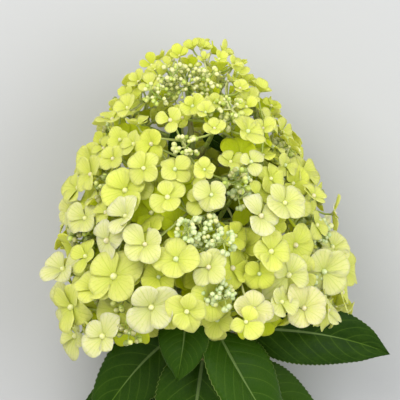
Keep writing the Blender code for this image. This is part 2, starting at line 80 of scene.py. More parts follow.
# Branches and sprays: the height of each tier's feet and bud clusters, and their turns
Tier = namedtuple("Tier", "foot height count first_turn lump")
TIERS = (
    Tier(0.006, 0.034, 6, 8.0, 0.0115),
    Tier(0.034, 0.072, 5, 3.0, 0.0120),
    Tier(0.066, 0.105, 5, 22.0, 0.0100),
    Tier(0.097, 0.131, 4, -6.0, 0.0090),
    Tier(0.120, 0.156, 3, 18.0, 0.0085),
)
FOOT_STAGGER = 0.007
FEET_IN_TURN = 3
PATH_STEPS = 10
BRANCH_STEPS = 4
SPRAY_STEPS = (7, 9, 10)
BRANCH_SAG = 0.15
BRANCH_SIDES = 5
BRANCH_RADIUS = 0.0023
SPRAY_END_RADIUS = 0.0011
CLUSTER_DEPTH = 0.80
TIP_CLUSTER = Vector((-0.006, 0.174, 0.029))
TIP_LUMP = 0.0150
TIP_WINDOW = Vector((0.0, 0.003, 0.012))
TIP_AHEAD = 0.01
TIP_STEPS = (0.35, 0.7)
WINDOW_SHARE = 0.38

# Florets: four broad sepals in a shallow cup on a thin stalk
FOOT_WIDTH = 0.032
TIP_WIDTH = 0.0160
RIM_POINTS = 16
NOTCH = 0.42
CUP_RISE = 0.0004
CUP_DEPTH = 0.0012
CUP_SLOPE = 0.32
CUP_SPREAD = 0.14
STALK_RADII = (0.0011, 0.0009, 0.0008)
STALK_SIDES = 3
STALK_KNEE = 0.009
KNEE_SHARE = 0.4
LEAST_UPRIGHT = 0.25
LUMP_ROUGHNESS = 0.12
SIDE_LUMP_SHARE = 0.7
LUMP_REACH = 1.3
ASIDE_RISE = (-0.3, 0.6)
ROOT_REACHES = (1.2, 1.6, 2.1, 2.7)
ROOT_CHOICE = 3
BACKMOST_ROOT = 0.2
SPRAY_CHOICE = 2
EYE_SHARE = 0.3
FIRST_HEIGHT = 0.006
FOOT_HEIGHT = 0.009
FOOT_TILT = 0.11
DEPTHS = (0.86, 1.06)
SIDE_WANDER = 0.35
FACING_STRAY = 0.55
FACE_STRAY = 0.38
FACE_LEAN = Vector((0.0, 0.1, 0.4))
LAYER_LEAN = Vector((0.0, 0.15, 0.12))
LAYER_SIZES = (0.82, 1.12)
LEAST_LAYER_RADIUS = 0.006
YOUTH_POWER = 1.6
TIP_THINNING = 2.2
OUTER_CROWDING = 0.95
INNER_CROWDING = 4.0
INNER_DEPTH = 0.70
GOLDEN_TURN = math.pi * (3.0 - math.sqrt(5.0))
ATTEMPTS = 9
DEPTH_STEP = 0.03
TURN_STEP = 6.0
FACE_SIZE_STEP = 0.02
SIZE_STEP = 0.03
SEED = 53

# The florets that look straight out of the bloom: across, along, width and turn, in millimetres
# and degrees, from the bloom's own centre line and lowest edge
FACE_FLORETS = (
    (-12, 194, 16, 30),
    (5, 191, 12, 0),
    (17, 192, 14, 40),
    (29, 187, 15, 20),
    (-29, 184, 12, 10),
    (32, 171, 15, 60),
    (-42, 176, 19, 60),
    (50, 169, 19, 10),
    (-18, 149, 21, 45),
    (6, 154, 16, 70),
    (35, 141, 26, 0),
    (12, 143, 17, 20),
    (-36, 116, 27, 45),
    (-77, 112, 28, 30),
    (30, 115, 22, 10),
    (10, 98, 23, 50),
    (-49, 101, 36, 20),
    (-20, 96, 28, 30),
    (60, 92, 30, 45),
    (43, 83, 29, 15),
    (-48, 83, 28, 60),
    (-35, 64, 28, 35),
    (-14, 54, 30, 0),
    (8, 49, 27, 40),
    (50, 59, 30, 5),
    (62, 43, 33, 55),
    (-57, 42, 41, 38),
    (-31, 22, 36, 45),
    (-7, 19, 30, 5),
    (14, 13, 32, 30),
    (73, 20, 31, 50),
    (-68, 1, 32, 45),
    (38, 20, 30, 0),
)

# The gaps between the florets in front that let an inner leaf or the stem show: across and
# along, in millimetres
GAPS = ((-21, 140), (-10, 137), (3, 130), (16, 131), (14, 108), (17, 89))
GAP_RADIUS = 0.004

# Leaves: where the stalk leaves the stem, the blade's root, middle and tip, its width and its
# facing, in millimetres from the bloom's centre line, lowest edge and the ground
Leaf = namedtuple("Leaf", "name foot root middle tip width facing")
LEAVES = (
    Leaf("leaf_right", -4, (33, 4, 72), (91, 5, 84), (136, -14, 52), 47, (0.1, -0.1, 1.0)),
    Leaf("leaf_left", -6, (-14, 0, 80), (-42, -15, 88), (-76, -72, 42), 52, (-0.3, 0.1, 1.0)),
    Leaf("leaf_small", -2, (-8, 17, 104), (-8, -3, 134), (-14, -31, 116), 37, (-0.1, -0.2, 1.0)),
    Leaf("leaf_front", -15, (5, -8, 95), (-1, -54, 102), (-12, -118, 69), 60, (0.0, 0.0, 1.0)),
    Leaf("leaf_low", -6, (14, 4, 101), (27, -24, 124), (70, -92, 66), 56, (0.9, 0.1, 1.0)),
    Leaf("leaf_under", -30, (26, -32, 58), (56, -36, 44), (98, -82, 10), 42, (0.3, 0.1, 1.0)),
    Leaf("leaf_back_left", -18, (-8, -24, 66), (-34, -26, 46), (-88, -62, 8), 42, (-0.3, 0.0, 1.0)),
    Leaf("leaf_back", -32, (-2, -44, 54), (-8, -74, 30), (2, -132, 6), 44, (0.0, 0.1, 1.0)),
    Leaf("bract_left", 114, (-9, 119, 87), (-19, 130, 93), (-12, 152, 94), 12, (0.0, 0.0, 1.0)),
    Leaf("bract_right", 143, (4, 140, 75), (14, 137, 74), (28, 124, 71), 11, (0.1, 0.0, 1.0)),
    Leaf("bract_low", 84, (8, 86, 74), (18, 88, 76), (30, 83, 72), 10, (0.0, 0.0, 1.0)),
)
LEAF_STATIONS = 8
LEAF_FOLD = 0.22
LEAF_THICKNESS = 0.012
LEAF_ROOT_POWER = 0.50
LEAF_TIP_POWER = 0.85
LEAF_LEAST_WIDTH = 0.09
LEAF_STALK_RADIUS = 0.040
LEAF_STALK_SIDES = 5
LEAF_STALK_REACH = 0.12
LEAF_STALK_BOW = 0.15
LEAF_STALK_SINK = 0.3
LEAF_STALK_TAPER = (1.3, 1.0, 1.0, 0.7)

MILLIMETRE = 0.001
UP = Vector((0.0, 0.0, 1.0))


def half_width(height):
    """The bloom's half width at a height along it: full at the foot, a dome at the tip."""
    share = min(max(height / BLOOM_LENGTH, 0.0), LAST_SHARE)
    return FULL_HALF_WIDTH * (1.0 - share**SHOULDER_POWER) ** CROWN_POWER


def on_dome(height, turn, inset, depth=1.0):
    """A point on the bloom's surface, and the way out of it there."""
    radius = max(half_width(height) - inset, LEAST_DOME_RADIUS) * depth
    slope = (half_width(height - SLOPE_STEP) - half_width(height + SLOPE_STEP)) / (2.0 * SLOPE_STEP)
    ray = Vector((math.sin(turn), 0.0, math.cos(turn)))
    outward = (ray + Vector((0.0, min(slope, STEEPEST_SLOPE), 0.0))).normalized()
    point = Vector((ray.x * radius, height, AXIS_HEIGHT + ray.z * radius))
    return point, outward


def stem_point(height):
    """The middle of the stem at a height along the bloom."""
    droop = STEM_DROOP * min(height, 0.0) ** 2
    return Vector((STEM_ACROSS + STEM_LEAN * height, height, AXIS_HEIGHT - droop))


def stem_radius(height):
    """The stem's radius, which swells where the leaves leave it."""
    share = (height - STEM_CUT) / (STEM_TOP - STEM_CUT)
    radius = STEM_FOOT_RADIUS + (STEM_TOP_RADIUS - STEM_FOOT_RADIUS) * share
    swell = sum(math.exp(-(((height - node) / NODE_SPAN) ** 2)) for node in LEAF_NODES)
    return radius * (1.0 + NODE_SWELL * swell)


def curve_point(start, middle, end, share):
    """A point on the curve from start to end that is drawn towards middle."""
    back = 1.0 - share
    return start * back * back + middle * 2.0 * share * back + end * share * share


def ring_places(points, radii, first_facing=None):
    """The place of each ring along a limb: square to its way there, with no twist between."""
    facings = [points[1] - points[0]]
    for before, after in zip(points, points[2:]):
        facings.append(after - before)
    facings.append(points[-1] - points[-2])
    if first_facing is not None:
        facings[0] = first_facing
    turn = UP.rotation_difference(facings[0])
    places = []
    for i, (point, radius) in enumerate(zip(points, radii)):
        if i > 0:
            turn = facings[i - 1].rotation_difference(facings[i]) @ turn
        places.append(Matrix.LocRotScale(point, turn, Vector((radius, radius, radius))))
    return places


def limb_mesh(points, radii, sides, first_facing=None):
    """A tapering limb: a ring of sides that is extruded to each next point in turn."""
    places = ring_places(points, radii, first_facing)
    limb = bmesh.new()
    bmesh.ops.create_circle(limb, cap_ends=True, segments=sides, radius=1.0, matrix=places[0])
    cap = list(limb.faces)
    for place, next_place in zip(places, places[1:]):
        grown = bmesh.ops.extrude_face_region(limb, geom=cap)["geom"]
        if place is not places[0]:
            bmesh.ops.delete(limb, geom=cap, context="FACES_ONLY")
        cap = [item for item in grown if isinstance(item, bmesh.types.BMFace)]
        corners = [item for item in grown if isinstance(item, bmesh.types.BMVert)]
        bmesh.ops.transform(limb, matrix=next_place @ place.inverted(), verts=corners)
    bmesh.ops.recalc_face_normals(limb, faces=limb.faces)
    return limb


def cup_mesh(bloom):
    """The cup of a floret: a flat ball with four lobes, whose rim follows the sepals."""
    cup = bmesh.new()
    bmesh.ops.create_uvsphere(cup, u_segments=RIM_POINTS, v_segments=2, radius=1.0)
    for corner in cup.verts:
        if corner.co.z > 0.5:
            corner.co = Vector((0.0, 0.0, CUP_RISE))
        elif corner.co.z < -0.5:
            corner.co = Vector((0.0, 0.0, -CUP_DEPTH))
        else:
            lobe = math.sqrt(abs(math.cos(2.0 * math.atan2(corner.co.y, corner.co.x))))
            reach = 0.5 * bloom.width * (NOTCH + (1.0 - NOTCH) * lobe)
            corner.co = Vector((corner.co.x * reach, corner.co.y * reach, bloom.slope * reach))
    spin = Matrix.Rotation(bloom.turn, 4, "Z")
    lean = UP.rotation_difference(bloom.facing).to_matrix().to_4x4()
    cup.transform(Matrix.Translation(bloom.place) @ lean @ spin)
    return cup


def lump_mesh(place, radius, dice):
    """A cluster of closed buds: a ball with an uneven surface."""
    lump = bmesh.new()
    bmesh.ops.create_icosphere(lump, subdivisions=1, radius=radius)
    for corner in lump.verts:
        corner.co *= 1.0 + LUMP_ROUGHNESS * dice.uniform(-1.0, 1.0)
    lump.transform(Matrix.Translation(place))
    return lump


def blade_width(share):
    """A leaf's width at a share of its length, as a share of its full width."""
    fullest = LEAF_ROOT_POWER / (LEAF_ROOT_POWER + LEAF_TIP_POWER)
    full = fullest**LEAF_ROOT_POWER * (1.0 - fullest) ** LEAF_TIP_POWER
    width = share**LEAF_ROOT_POWER * (1.0 - share) ** LEAF_TIP_POWER / full
    return max(width, LEAF_LEAST_WIDTH)


def blade_mesh(leaf):
    """A leaf's blade: a grid bent along the leaf's curve, folded at its midrib and thickened."""
    root, middle, tip = (Vector(point) * MILLIMETRE for point in (leaf.root, leaf.middle, leaf.tip))
    width = leaf.width * MILLIMETRE
    facing = Vector(leaf.facing).normalized()
    blade = bmesh.new()
    bmesh.ops.create_grid(blade, x_segments=LEAF_STATIONS, y_segments=2, size=1.0)
    for corner in blade.verts:
        share = 0.5 * (corner.co.x + 1.0)
        along = (middle - root) * (1.0 - share) + (tip - middle) * share
        across = facing.cross(along).normalized()
        lift = along.cross(across).normalized()
        reach = 0.5 * width * blade_width(share)
        point = curve_point(root, middle, tip, share)
        side = corner.co.y * reach
        corner.co = point + across * side + lift * abs(side) * LEAF_FOLD
    bmesh.ops.solidify(blade, geom=blade.faces[:], thickness=LEAF_THICKNESS * (tip - root).length)
    bmesh.ops.recalc_face_normals(blade, faces=blade.faces)
    return blade


def leaf_stalk_mesh(leaf):
    """A leaf's stalk, from just clear of the stem to inside the root of the blade."""
    root, middle, tip = (Vector(point) * MILLIMETRE for point in (leaf.root, leaf.middle, leaf.tip))
    foot_height = leaf.foot * MILLIMETRE
    out = root - stem_point(foot_height)
    out.y = 0.0
    out.normalize()
    foot = stem_point(foot_height) + out * (stem_radius(foot_height) + SEAT_GAP)
    inside = curve_point(root, middle, tip, LEAF_STALK_REACH)
    thickness = LEAF_THICKNESS * (tip - root).length
    lift = (inside - root).cross(Vector(leaf.facing)).cross(inside - root).normalized()
    radius = LEAF_STALK_RADIUS * leaf.width * MILLIMETRE
    bow = foot.lerp(root, 0.5) + out * LEAF_STALK_BOW * (root - foot).length
    bend = curve_point(foot, bow, root, 0.5)
    points = [foot, bend, root - lift * LEAF_STALK_SINK * thickness, inside]
    radii = [radius * share for share in LEAF_STALK_TAPER]
    return limb_mesh(points, radii, LEAF_STALK_SIDES, out)


Bloom = namedtuple("Bloom", "place facing turn width slope")
Cluster = namedtuple("Cluster", "place radius")
TIP_LEVEL = 6


class Piece:
    """One closed shape of a node as the solids have it, kept to test others against."""

    def __init__(self, node, kind, mesh):
        self.node = node
        self.kind = kind
        self.tree = BVHTree.FromBMesh(mesh)
        self.middle = sum((corner.co for corner in mesh.verts), Vector()) / len(mesh.verts)
        self.reach = max((corner.co - self.middle).length for corner in mesh.verts)
        grown = mesh.copy()
        grown.normal_update()
        for corner in grown.verts:
            corner.co += corner.normal * SEAT_GAP
        self.grown_tree = BVHTree.FromBMesh(grown)
        grown.free()

    def meets(self, other):
        """Tells whether the other piece is nearer than the gap that all nodes keep."""
        if (self.middle - other.middle).length > self.reach + other.reach + SEAT_GAP:
            return False
        return bool(self.grown_tree.overlap(other.tree))


class Spray:
    """One stem with florets and buds, which ends a branch or the main stem."""

    def __init__(self, node, points, lump, window, path, level):
        self.node = node
        self.points = points
        self.lump = lump
        self.window = window
        self.path = path
        self.level = level
        self.florets = []
        self.clusters = []
        self.roots = [self.point_back(reach * lump) for reach in ROOT_REACHES]

    def point_back(self, distance):
        """The point on the stem at a distance back from its end."""
        for end, start in zip(self.points[::-1], self.points[-2::-1]):
            length = (end - start).length
            if distance <= length:
                return end.lerp(start, distance / length)
            distance -= length
        return self.points[0].lerp(self.points[1], BACKMOST_ROOT)

    def is_hidden_by(self, place, width):
        """Tells whether a floret there would hide a cluster that shows between the florets."""
        if self.window is None:
            return False
        return (self.window - place).length < self.lump + WINDOW_SHARE * width

    def nearest_roots(self, place):
        """The best places on the spray for a stalk that ends at place, nearest first."""
        return sorted(self.roots, key=lambda root: (root - place).length)[:ROOT_CHOICE]


def branch_path(tier, number, turn):
    """The points from the main stem out to the bud cluster of one branch."""
    cluster = on_dome(tier.height, turn, 0.0, CLUSTER_DEPTH)[0]
    cluster.z = max(cluster.z, LUMP_REACH * tier.lump)
    ray = Vector((math.sin(turn), 0.0, math.cos(turn)))
    foot_height = tier.foot + FOOT_STAGGER * (number % FEET_IN_TURN)
    foot = stem_point(foot_height) + ray * (stem_radius(foot_height) + SEAT_GAP)
    sag = Vector((0.0, BRANCH_SAG * (tier.height - foot_height), 0.0))
    middle = foot.lerp(cluster, 0.5) - sag
    shares = [step / PATH_STEPS for step in range(PATH_STEPS + 1)]
    return ray, [curve_point(foot, middle, cluster, share) for share in shares]


def grow_branches(pieces):
    """Adds the branches and the stems of the sprays that they carry."""
    sprays = []
    for level, tier in enumerate(TIERS, 1):
        for number in range(tier.count):
            turn = math.radians(tier.first_turn + 360.0 * number / tier.count)
            ray, path = branch_path(tier, number, turn)
            name = f"{level}_{number + 1}"
            points = path[:BRANCH_STEPS + 1:2]
            pieces.append(Piece(f"branch_{name}", "limb", branch_mesh(points, ray)))
            ahead = (points[-1] - points[-2]).normalized()
            points = [points[-1] + ahead * SEAT_GAP] + [path[step] for step in SPRAY_STEPS]
            window = on_dome(tier.height, turn, 0.0)[0] if number % 2 == 0 else None
            spray = Spray(f"spray_{name}", points, tier.lump, window, path, level)
            pieces.append(Piece(spray.node, "stem", spray_stem_mesh(points, ahead)))
            sprays.append(spray)
    return sprays


def branch_mesh(points, ray):
    """One branch, thickest at its foot."""
    end = branch_end_radius()
    return limb_mesh(points, [BRANCH_RADIUS, 0.5 * (BRANCH_RADIUS + end), end], BRANCH_SIDES, ray)


def branch_end_radius():
    """The radius where a branch ends and its spray goes on."""
    return BRANCH_RADIUS + (SPRAY_END_RADIUS - BRANCH_RADIUS) * BRANCH_STEPS / PATH_STEPS


def spray_stem_mesh(points, ahead):
    """The stem of a spray, which goes on from its branch and thins towards the buds."""
    start = branch_end_radius()
    steps = len(points) - 1
    radii = [start + (SPRAY_END_RADIUS - start) * i / steps for i in range(len(points))]
    return limb_mesh(points, radii, BRANCH_SIDES, ahead)


def grow_tip(pieces):
    """Adds the stem of the spray at the very tip, which goes on from the main stem."""
    top = stem_point(STEM_TOP)
    ahead = (top - stem_point(STEM_TOP - TIP_AHEAD)).normalized()
    start = top + ahead * SEAT_GAP
    end = TIP_CLUSTER + Vector((0.0, 0.0, AXIS_HEIGHT))
    points = [start, *(start.lerp(end, step) for step in TIP_STEPS), end]
    spray = Spray("spray_tip", points, TIP_LUMP, end + TIP_WINDOW, points, TIP_LEVEL)
    pieces.append(Piece(spray.node, "stem", spray_stem_mesh(points, ahead)))
    return spray


def grow_stem(pieces):
    """Adds the main stem, from its flat cut to where the tip spray goes on from it."""
    stations = range(STEM_STATIONS + 1)
    heights = [STEM_CUT + (STEM_TOP - STEM_CUT) * i / STEM_STATIONS for i in stations]
    points = [stem_point(height) for height in heights]
    radii = [stem_radius(height) for height in heights]
    pieces.append(Piece("stem", "limb", limb_mesh(points, radii, STEM_SIDES)))


def grow_leaves(pieces):
    """Adds each leaf's stalk and blade."""
    for leaf in LEAVES:
        pieces.append(Piece(leaf.name, "limb", leaf_stalk_mesh(leaf)))
        pieces.append(Piece(leaf.name, "limb", blade_mesh(leaf)))


def is_free(piece, pieces, own_kinds):
    """Tells whether a piece keeps clear of all others, but for its own node's given kinds."""
    for other in pieces:
        if other.node == piece.node and other.kind in own_kinds:
            continue
        if piece.meets(other):
            return False
    return True


def above_ground(mesh):
    """Lifts a shape that would reach into the ground, and gives how far it went up."""
    lift = max(GROUND_GAP - min(corner.co.z for corner in mesh.verts), 0.0)
    mesh.transform(Matrix.Translation((0.0, 0.0, lift)))
    return lift


def grow_lumps(sprays, pieces, dice):
    """Adds a cluster of buds at the end of each spray, and a smaller one beside it."""
    for spray in sprays:
        end = spray.points[-1]
        pieces.append(Piece(spray.node, "buds", lump_mesh(end, spray.lump, dice)))
        spray.clusters.append(Cluster(end, spray.lump))
        aside = Vector((dice.uniform(-1, 1), dice.uniform(-1, 1), dice.uniform(*ASIDE_RISE)))
        place = end + aside.normalized() * spray.lump
        place.z = max(place.z, end.z)
        side = Piece(spray.node, "buds", lump_mesh(place, SIDE_LUMP_SHARE * spray.lump, dice))
        if is_free(side, pieces, ("stem", "buds")):
            pieces.append(side)
            spray.clusters.append(Cluster(place, SIDE_LUMP_SHARE * spray.lump))


def stalk_points(root, bloom):
    """A stalk's way from its root to the back of its floret, with a knee under the floret."""
    knee = bloom.place - bloom.facing * min(STALK_KNEE, KNEE_SHARE * (bloom.place - root).length)
    return [root, knee, bloom.place - bloom.facing * CUP_DEPTH]


def try_floret(sprays, pieces, bloom):
    """Adds a floret with its stalk to the nearest spray that has room, and tells if one had."""
    cup = cup_mesh(bloom)
    bloom = bloom._replace(place=bloom.place + Vector((0.0, 0.0, above_ground(cup))))
    by_distance = sorted(sprays, key=lambda spray: (spray.points[-1] - bloom.place).length)
    for spray in by_distance[:SPRAY_CHOICE]:
        floret = Piece(spray.node, "floret", cup)
        if not is_free(floret, pieces, ()):
            continue
        for root in spray.nearest_roots(bloom.place):
            if (bloom.place - root).normalized().dot(bloom.facing) < LEAST_UPRIGHT:
                continue
            points = stalk_points(root, bloom)
            stalk = Piece(spray.node, "stalk", limb_mesh(points, STALK_RADII, STALK_SIDES))
            if is_free(stalk, pieces, ("stem", "stalk")):
                pieces.extend((stalk, floret))
                spray.florets.append((bloom, points))
                spray.roots.append(points[0].lerp(points[1], 0.5))
                return True
    return False


def floret_width(height):
    """The usual width of a floret at a height along the bloom: they are younger at the tip."""
    share = min(max(height / BLOOM_LENGTH, 0.0), 1.0)
    return FOOT_WIDTH + (TIP_WIDTH - FOOT_WIDTH) * share**YOUTH_POWER


def stray_way(dice):
    """A random way, within a cube."""
    return Vector((dice.uniform(-1, 1), dice.uniform(-1, 1), dice.uniform(-1, 1)))


def grow_faces(sprays, pieces, dice):
    """Adds the florets that look straight out of the bloom."""
    for across, height, width, degrees in FACE_FLORETS:
        across, height, width = (size * MILLIMETRE for size in (across, height, width))
        radius = half_width(height) - EYE_SHARE * width
        turn = math.asin(min(max(across / radius, -1.0), 1.0))
        for attempt in range(ATTEMPTS):
            depth = 1.0 - DEPTH_STEP * attempt
            place, outward = on_dome(height, turn, EYE_SHARE * width, depth)
            place.x = across
            facing = (outward + FACE_STRAY * stray_way(dice) + FACE_LEAN).normalized()
            slope = CUP_SLOPE + CUP_SPREAD * dice.uniform(-1.0, 1.0)
            spin = math.radians(degrees + TURN_STEP * attempt)
            bloom = Bloom(place, facing, spin, width * (1.0 - FACE_SIZE_STEP * attempt), slope)
            if try_floret(sprays, pieces, bloom):
                break


def closes_gap(place, width):
    """Tells whether a floret there would close one of the gaps in front."""
    if place.z < AXIS_HEIGHT:
        return False
    spot = place.to_2d()
    reach = GAP_RADIUS + WINDOW_SHARE * width
    return any((Vector(gap) * MILLIMETRE - spot).length < reach for gap in GAPS)


def leaves_open(place, width, sprays):
    """Tells whether a floret there leaves the gaps open and the clusters in view."""
    if closes_gap(place, width):
        return False
    return not any(spray.is_hidden_by(place, width) for spray in sprays)


def spiral_step(height, width, crowding, depth):
    """The radius of a layer's spiral at a height, and the height of the next floret on it."""
    radius = max(half_width(height) - EYE_SHARE * width, LEAST_LAYER_RADIUS) * depth
    thinning = 1.0 + TIP_THINNING * max(height / BLOOM_LENGTH, 0.0) ** 2
    return radius, height + crowding * thinning * width * width / (2.0 * math.pi * radius)


def grow_layer(sprays, pieces, dice, crowding, layer_depth):
    """Adds florets along a spiral over the whole bloom, wherever there is room for one."""
    height = FIRST_HEIGHT
    number = 0
    while height < BLOOM_LENGTH:
        width = floret_width(height)
        radius, height = spiral_step(height, width, crowding, layer_depth)
        number += 1
        for attempt in range(ATTEMPTS):
            turn = number * GOLDEN_TURN + dice.uniform(-1.0, 1.0) * SIDE_WANDER * width / radius
            along = height + dice.uniform(-1.0, 1.0) * SIDE_WANDER * width
            foot = FOOT_HEIGHT + FOOT_TILT * radius * math.sin(turn)
            along = min(max(along, foot), BLOOM_LENGTH - EYE_SHARE * width)
            depth = layer_depth * dice.uniform(*DEPTHS)
            place, outward = on_dome(along, turn, EYE_SHARE * width, depth)
            if not leaves_open(place, width, sprays):
                continue
            facing = (outward + FACING_STRAY * stray_way(dice) + LAYER_LEAN).normalized()
            spin = dice.uniform(0.0, 0.5 * math.pi)
            size = width * dice.uniform(*LAYER_SIZES) * (1.0 - SIZE_STEP * attempt)
            slope = CUP_SLOPE + CUP_SPREAD * dice.uniform(-1.0, 1.0)
            if try_floret(sprays, pieces, Bloom(place, facing, spin, size, slope)):
                break


def grow_plant():
    """Grows the whole plant as its solids have it, and gives its sprays."""
    dice = random.Random(SEED)
    pieces = []
    grow_stem(pieces)
    sprays = grow_branches(pieces)
    sprays.append(grow_tip(pieces))
    grow_leaves(pieces)
    grow_lumps(sprays, pieces, dice)
    grow_faces(sprays, pieces, dice)
    grow_layer(sprays, pieces, dice, OUTER_CROWDING, 1.0)
    grow_layer(sprays, pieces, dice, INNER_CROWDING, INNER_DEPTH)
    return sprays


# What the camera sees: the photograph's frame, in the bloom's own measures
PICTURE_WIDTH = 0.280
PICTURE_ACROSS = 0.0021
PICTURE_ALONG = 0.0945
LENS = 400.0
SENSOR = 36.0

# The map on every small shape: a sheet of square tiles, one for each tint and side
TILES = 4
TILE_REACH = 0.44
TINTS = 8
RIM_REACH = 1.06
MAP_NAME = "OFBake"

# Tints in the order of their tiles
CREAM, PALE_LIME, LIME, FRESH, YOUNG, OLIVE, BLUSHED, SHADED = range(TINTS)
SEPAL_TINTS = (
    (0.725, 0.725, 0.30),
    (0.70, 0.715, 0.235),
    (0.67, 0.71, 0.14),
    (0.66, 0.72, 0.085),
    (0.70, 0.76, 0.12),
    (0.50, 0.48, 0.05),
    (0.72, 0.69, 0.27),
    # SHADED: a darker, deeper green for florets deep in the bloom, which is painted shade
    (0.55, 0.66, 0.008),
)
BUD_TINTS = (
    (0.78, 0.78, 0.36),
    (0.66, 0.74, 0.38),
    (0.56, 0.68, 0.32),
    (0.52, 0.62, 0.12),
    (0.66, 0.70, 0.20),
    (0.40, 0.40, 0.14),
    (0.72, 0.66, 0.40),
    (0.28, 0.34, 0.08),
)
TWIG_TINTS = (
    (0.62, 0.64, 0.26),
    (0.52, 0.60, 0.16),
    (0.44, 0.54, 0.10),
    (0.34, 0.46, 0.06),
    (0.26, 0.38, 0.05),
    (0.36, 0.34, 0.12),
    (0.48, 0.36, 0.16),
    (0.18, 0.25, 0.05),
)
LEAF_TINTS = (
    (0.014, 0.044, 0.002),
    (0.020, 0.060, 0.002),
    (0.026, 0.076, 0.003),
    (0.011, 0.034, 0.002),
    (0.030, 0.078, 0.004),
)

# Fine growth: counts, sides and sizes of its small shapes
SEPAL_COUNTS = (4, 4, 4, 4, 4, 4, 4, 3, 4, 5)
TWIG_SIDES = 5
STALK_RADIUS = 0.00085
EYE_SIZE = 0.055
BUD_RADIUS = 0.00195
YOUNG_BUD_SHARE = 0.82
BUDS_IN_TUFT = 5
BUDS_IN_SMALL_TUFT = 3
SMALL_CLUSTER = 0.0105
TUFT_SPACING = 0.0068
BUD_STALK_RADIUS = 0.00033
POLE_REACH = 0.01
STEEP = 0.8
CAP_PLACE = 0.9
CAP_SIZE = 0.08


Master = namedtuple("Master", "corners faces places sides")


def clear_selection():
    """Leaves nothing selected, so an operator acts on the new shape alone."""
    bpy.ops.object.select_all(action="DESELECT")


def take_master(thing, place_of, side_of):
    """Reads a modelled shape into arrays, by the size of its faces, and removes its object.

    The faces are sorted, because a ball's faces come in another order in each run.
    """
    mesh = thing.data
    corners = np.empty((len(mesh.vertices), 3))
    mesh.vertices.foreach_get("co", corners.ravel())
    rings = sorted(list(face.vertices) for face in mesh.polygons)
    sizes = sorted({len(ring) for ring in rings})
    faces = [np.array([ring for ring in rings if len(ring) == size]) for size in sizes]
    places = [np.array([place_of(corners[list(face)]) for face in group]) for group in faces]
    sides = [np.array([side_of(corners[list(face)]) for face in group]) for group in faces]
    bpy.data.objects.remove(thing)
    return Master(corners, faces, places, sides)


def rounded(corners):
    """Turns places on a square grid into places on a disc."""
    along, across = corners[:, 0], corners[:, 1]
    round_along = along * np.sqrt(1.0 - 0.5 * across**2)
    round_across = across * np.sqrt(1.0 - 0.5 * along**2)
    return np.stack((round_along, round_across), 1)


def sheet_master(name, along, across, place_of):
    """A thin sheet with a front, a back and a rim, modelled as a thickened grid."""
    clear_selection()
    bpy.ops.mesh.primitive_grid_add(x_subdivisions=along, y_subdivisions=across, size=2.0)
    thing = bpy.context.object
    thing.name = name
    wall = thing.modifiers.new("wall", "SOLIDIFY")
    wall.thickness = 1.0
    wall.offset = -1.0
    bpy.ops.object.modifier_apply(modifier=wall.name)
    return take_master(thing, place_of, sheet_side)


def sheet_side(corners):
    """Tells a sheet's back faces from its front and its rim."""
    return int(corners[:, 2].max() < -0.5)


def rim_folded(corners, places):
    """Places on a tile, with the rim's back edge folded out just beyond the front."""
    if sheet_side(corners):
        return places
    return places * np.where(corners[:, 2:] < -0.5, RIM_REACH, 1.0)


def disc_place(corners):
    """A sepal face's place on its tile."""
    return rim_folded(corners, rounded(corners))


def square_place(corners):
    """A leaf face's place on its tile."""
    return rim_folded(corners, corners[:, :2])


def bud_master():
    """A closed bud: a plain ball, which gets its lobes where it is set."""
    clear_selection()
    bpy.ops.mesh.primitive_uv_sphere_add(segments=8, ring_count=6, radius=1.0)
    thing = bpy.context.object
    thing.name = "bud"
    return take_master(thing, ball_place, lambda corners: 0)


def ball_place(corners):
    """A bud face's place on its tile: the tip in the middle and the foot round the rim."""
    down = np.arccos(np.clip(corners[:, 2], -1.0, 1.0)) / math.pi
    ways = corners[:, :2].copy()
    lengths = np.linalg.norm(ways, axis=1)
    ways[lengths < POLE_REACH] = ways[lengths >= POLE_REACH].sum(0)
    ways /= np.linalg.norm(ways, axis=1)[:, None]
    return ways * down[:, None]


def tube_master(rings, sides):
    """A tube's faces: bands between rings and a flat cap at each end."""
    bands, band_places = [], []
    for ring in range(rings - 1):
        low, high = (2.0 * end / (rings - 1) - 1.0 for end in (ring, ring + 1))
        for side in range(sides):
            beyond = (side + 1) % sides
            left, right = (2.0 * edge / sides - 1.0 for edge in (side, side + 1))
            first, second = ring * sides, (ring + 1) * sides
            bands.append((first + side, first + beyond, second + beyond, second + side))
            band_places.append(((low, left), (low, right), (high, right), (high, left)))
    start = list(range(sides))[::-1]
    end = [(rings - 1) * sides + side for side in range(sides)]
    turns = [2.0 * math.pi * side / sides for side in range(sides)]
    rim = [(CAP_PLACE + CAP_SIZE * math.cos(turn), CAP_SIZE * math.sin(turn)) for turn in turns]
    faces = [np.array(bands), np.array([start, end])]
    places = [np.array(band_places), np.array([rim, rim])]
    return Master(None, faces, places, [np.zeros(len(group), int) for group in faces])


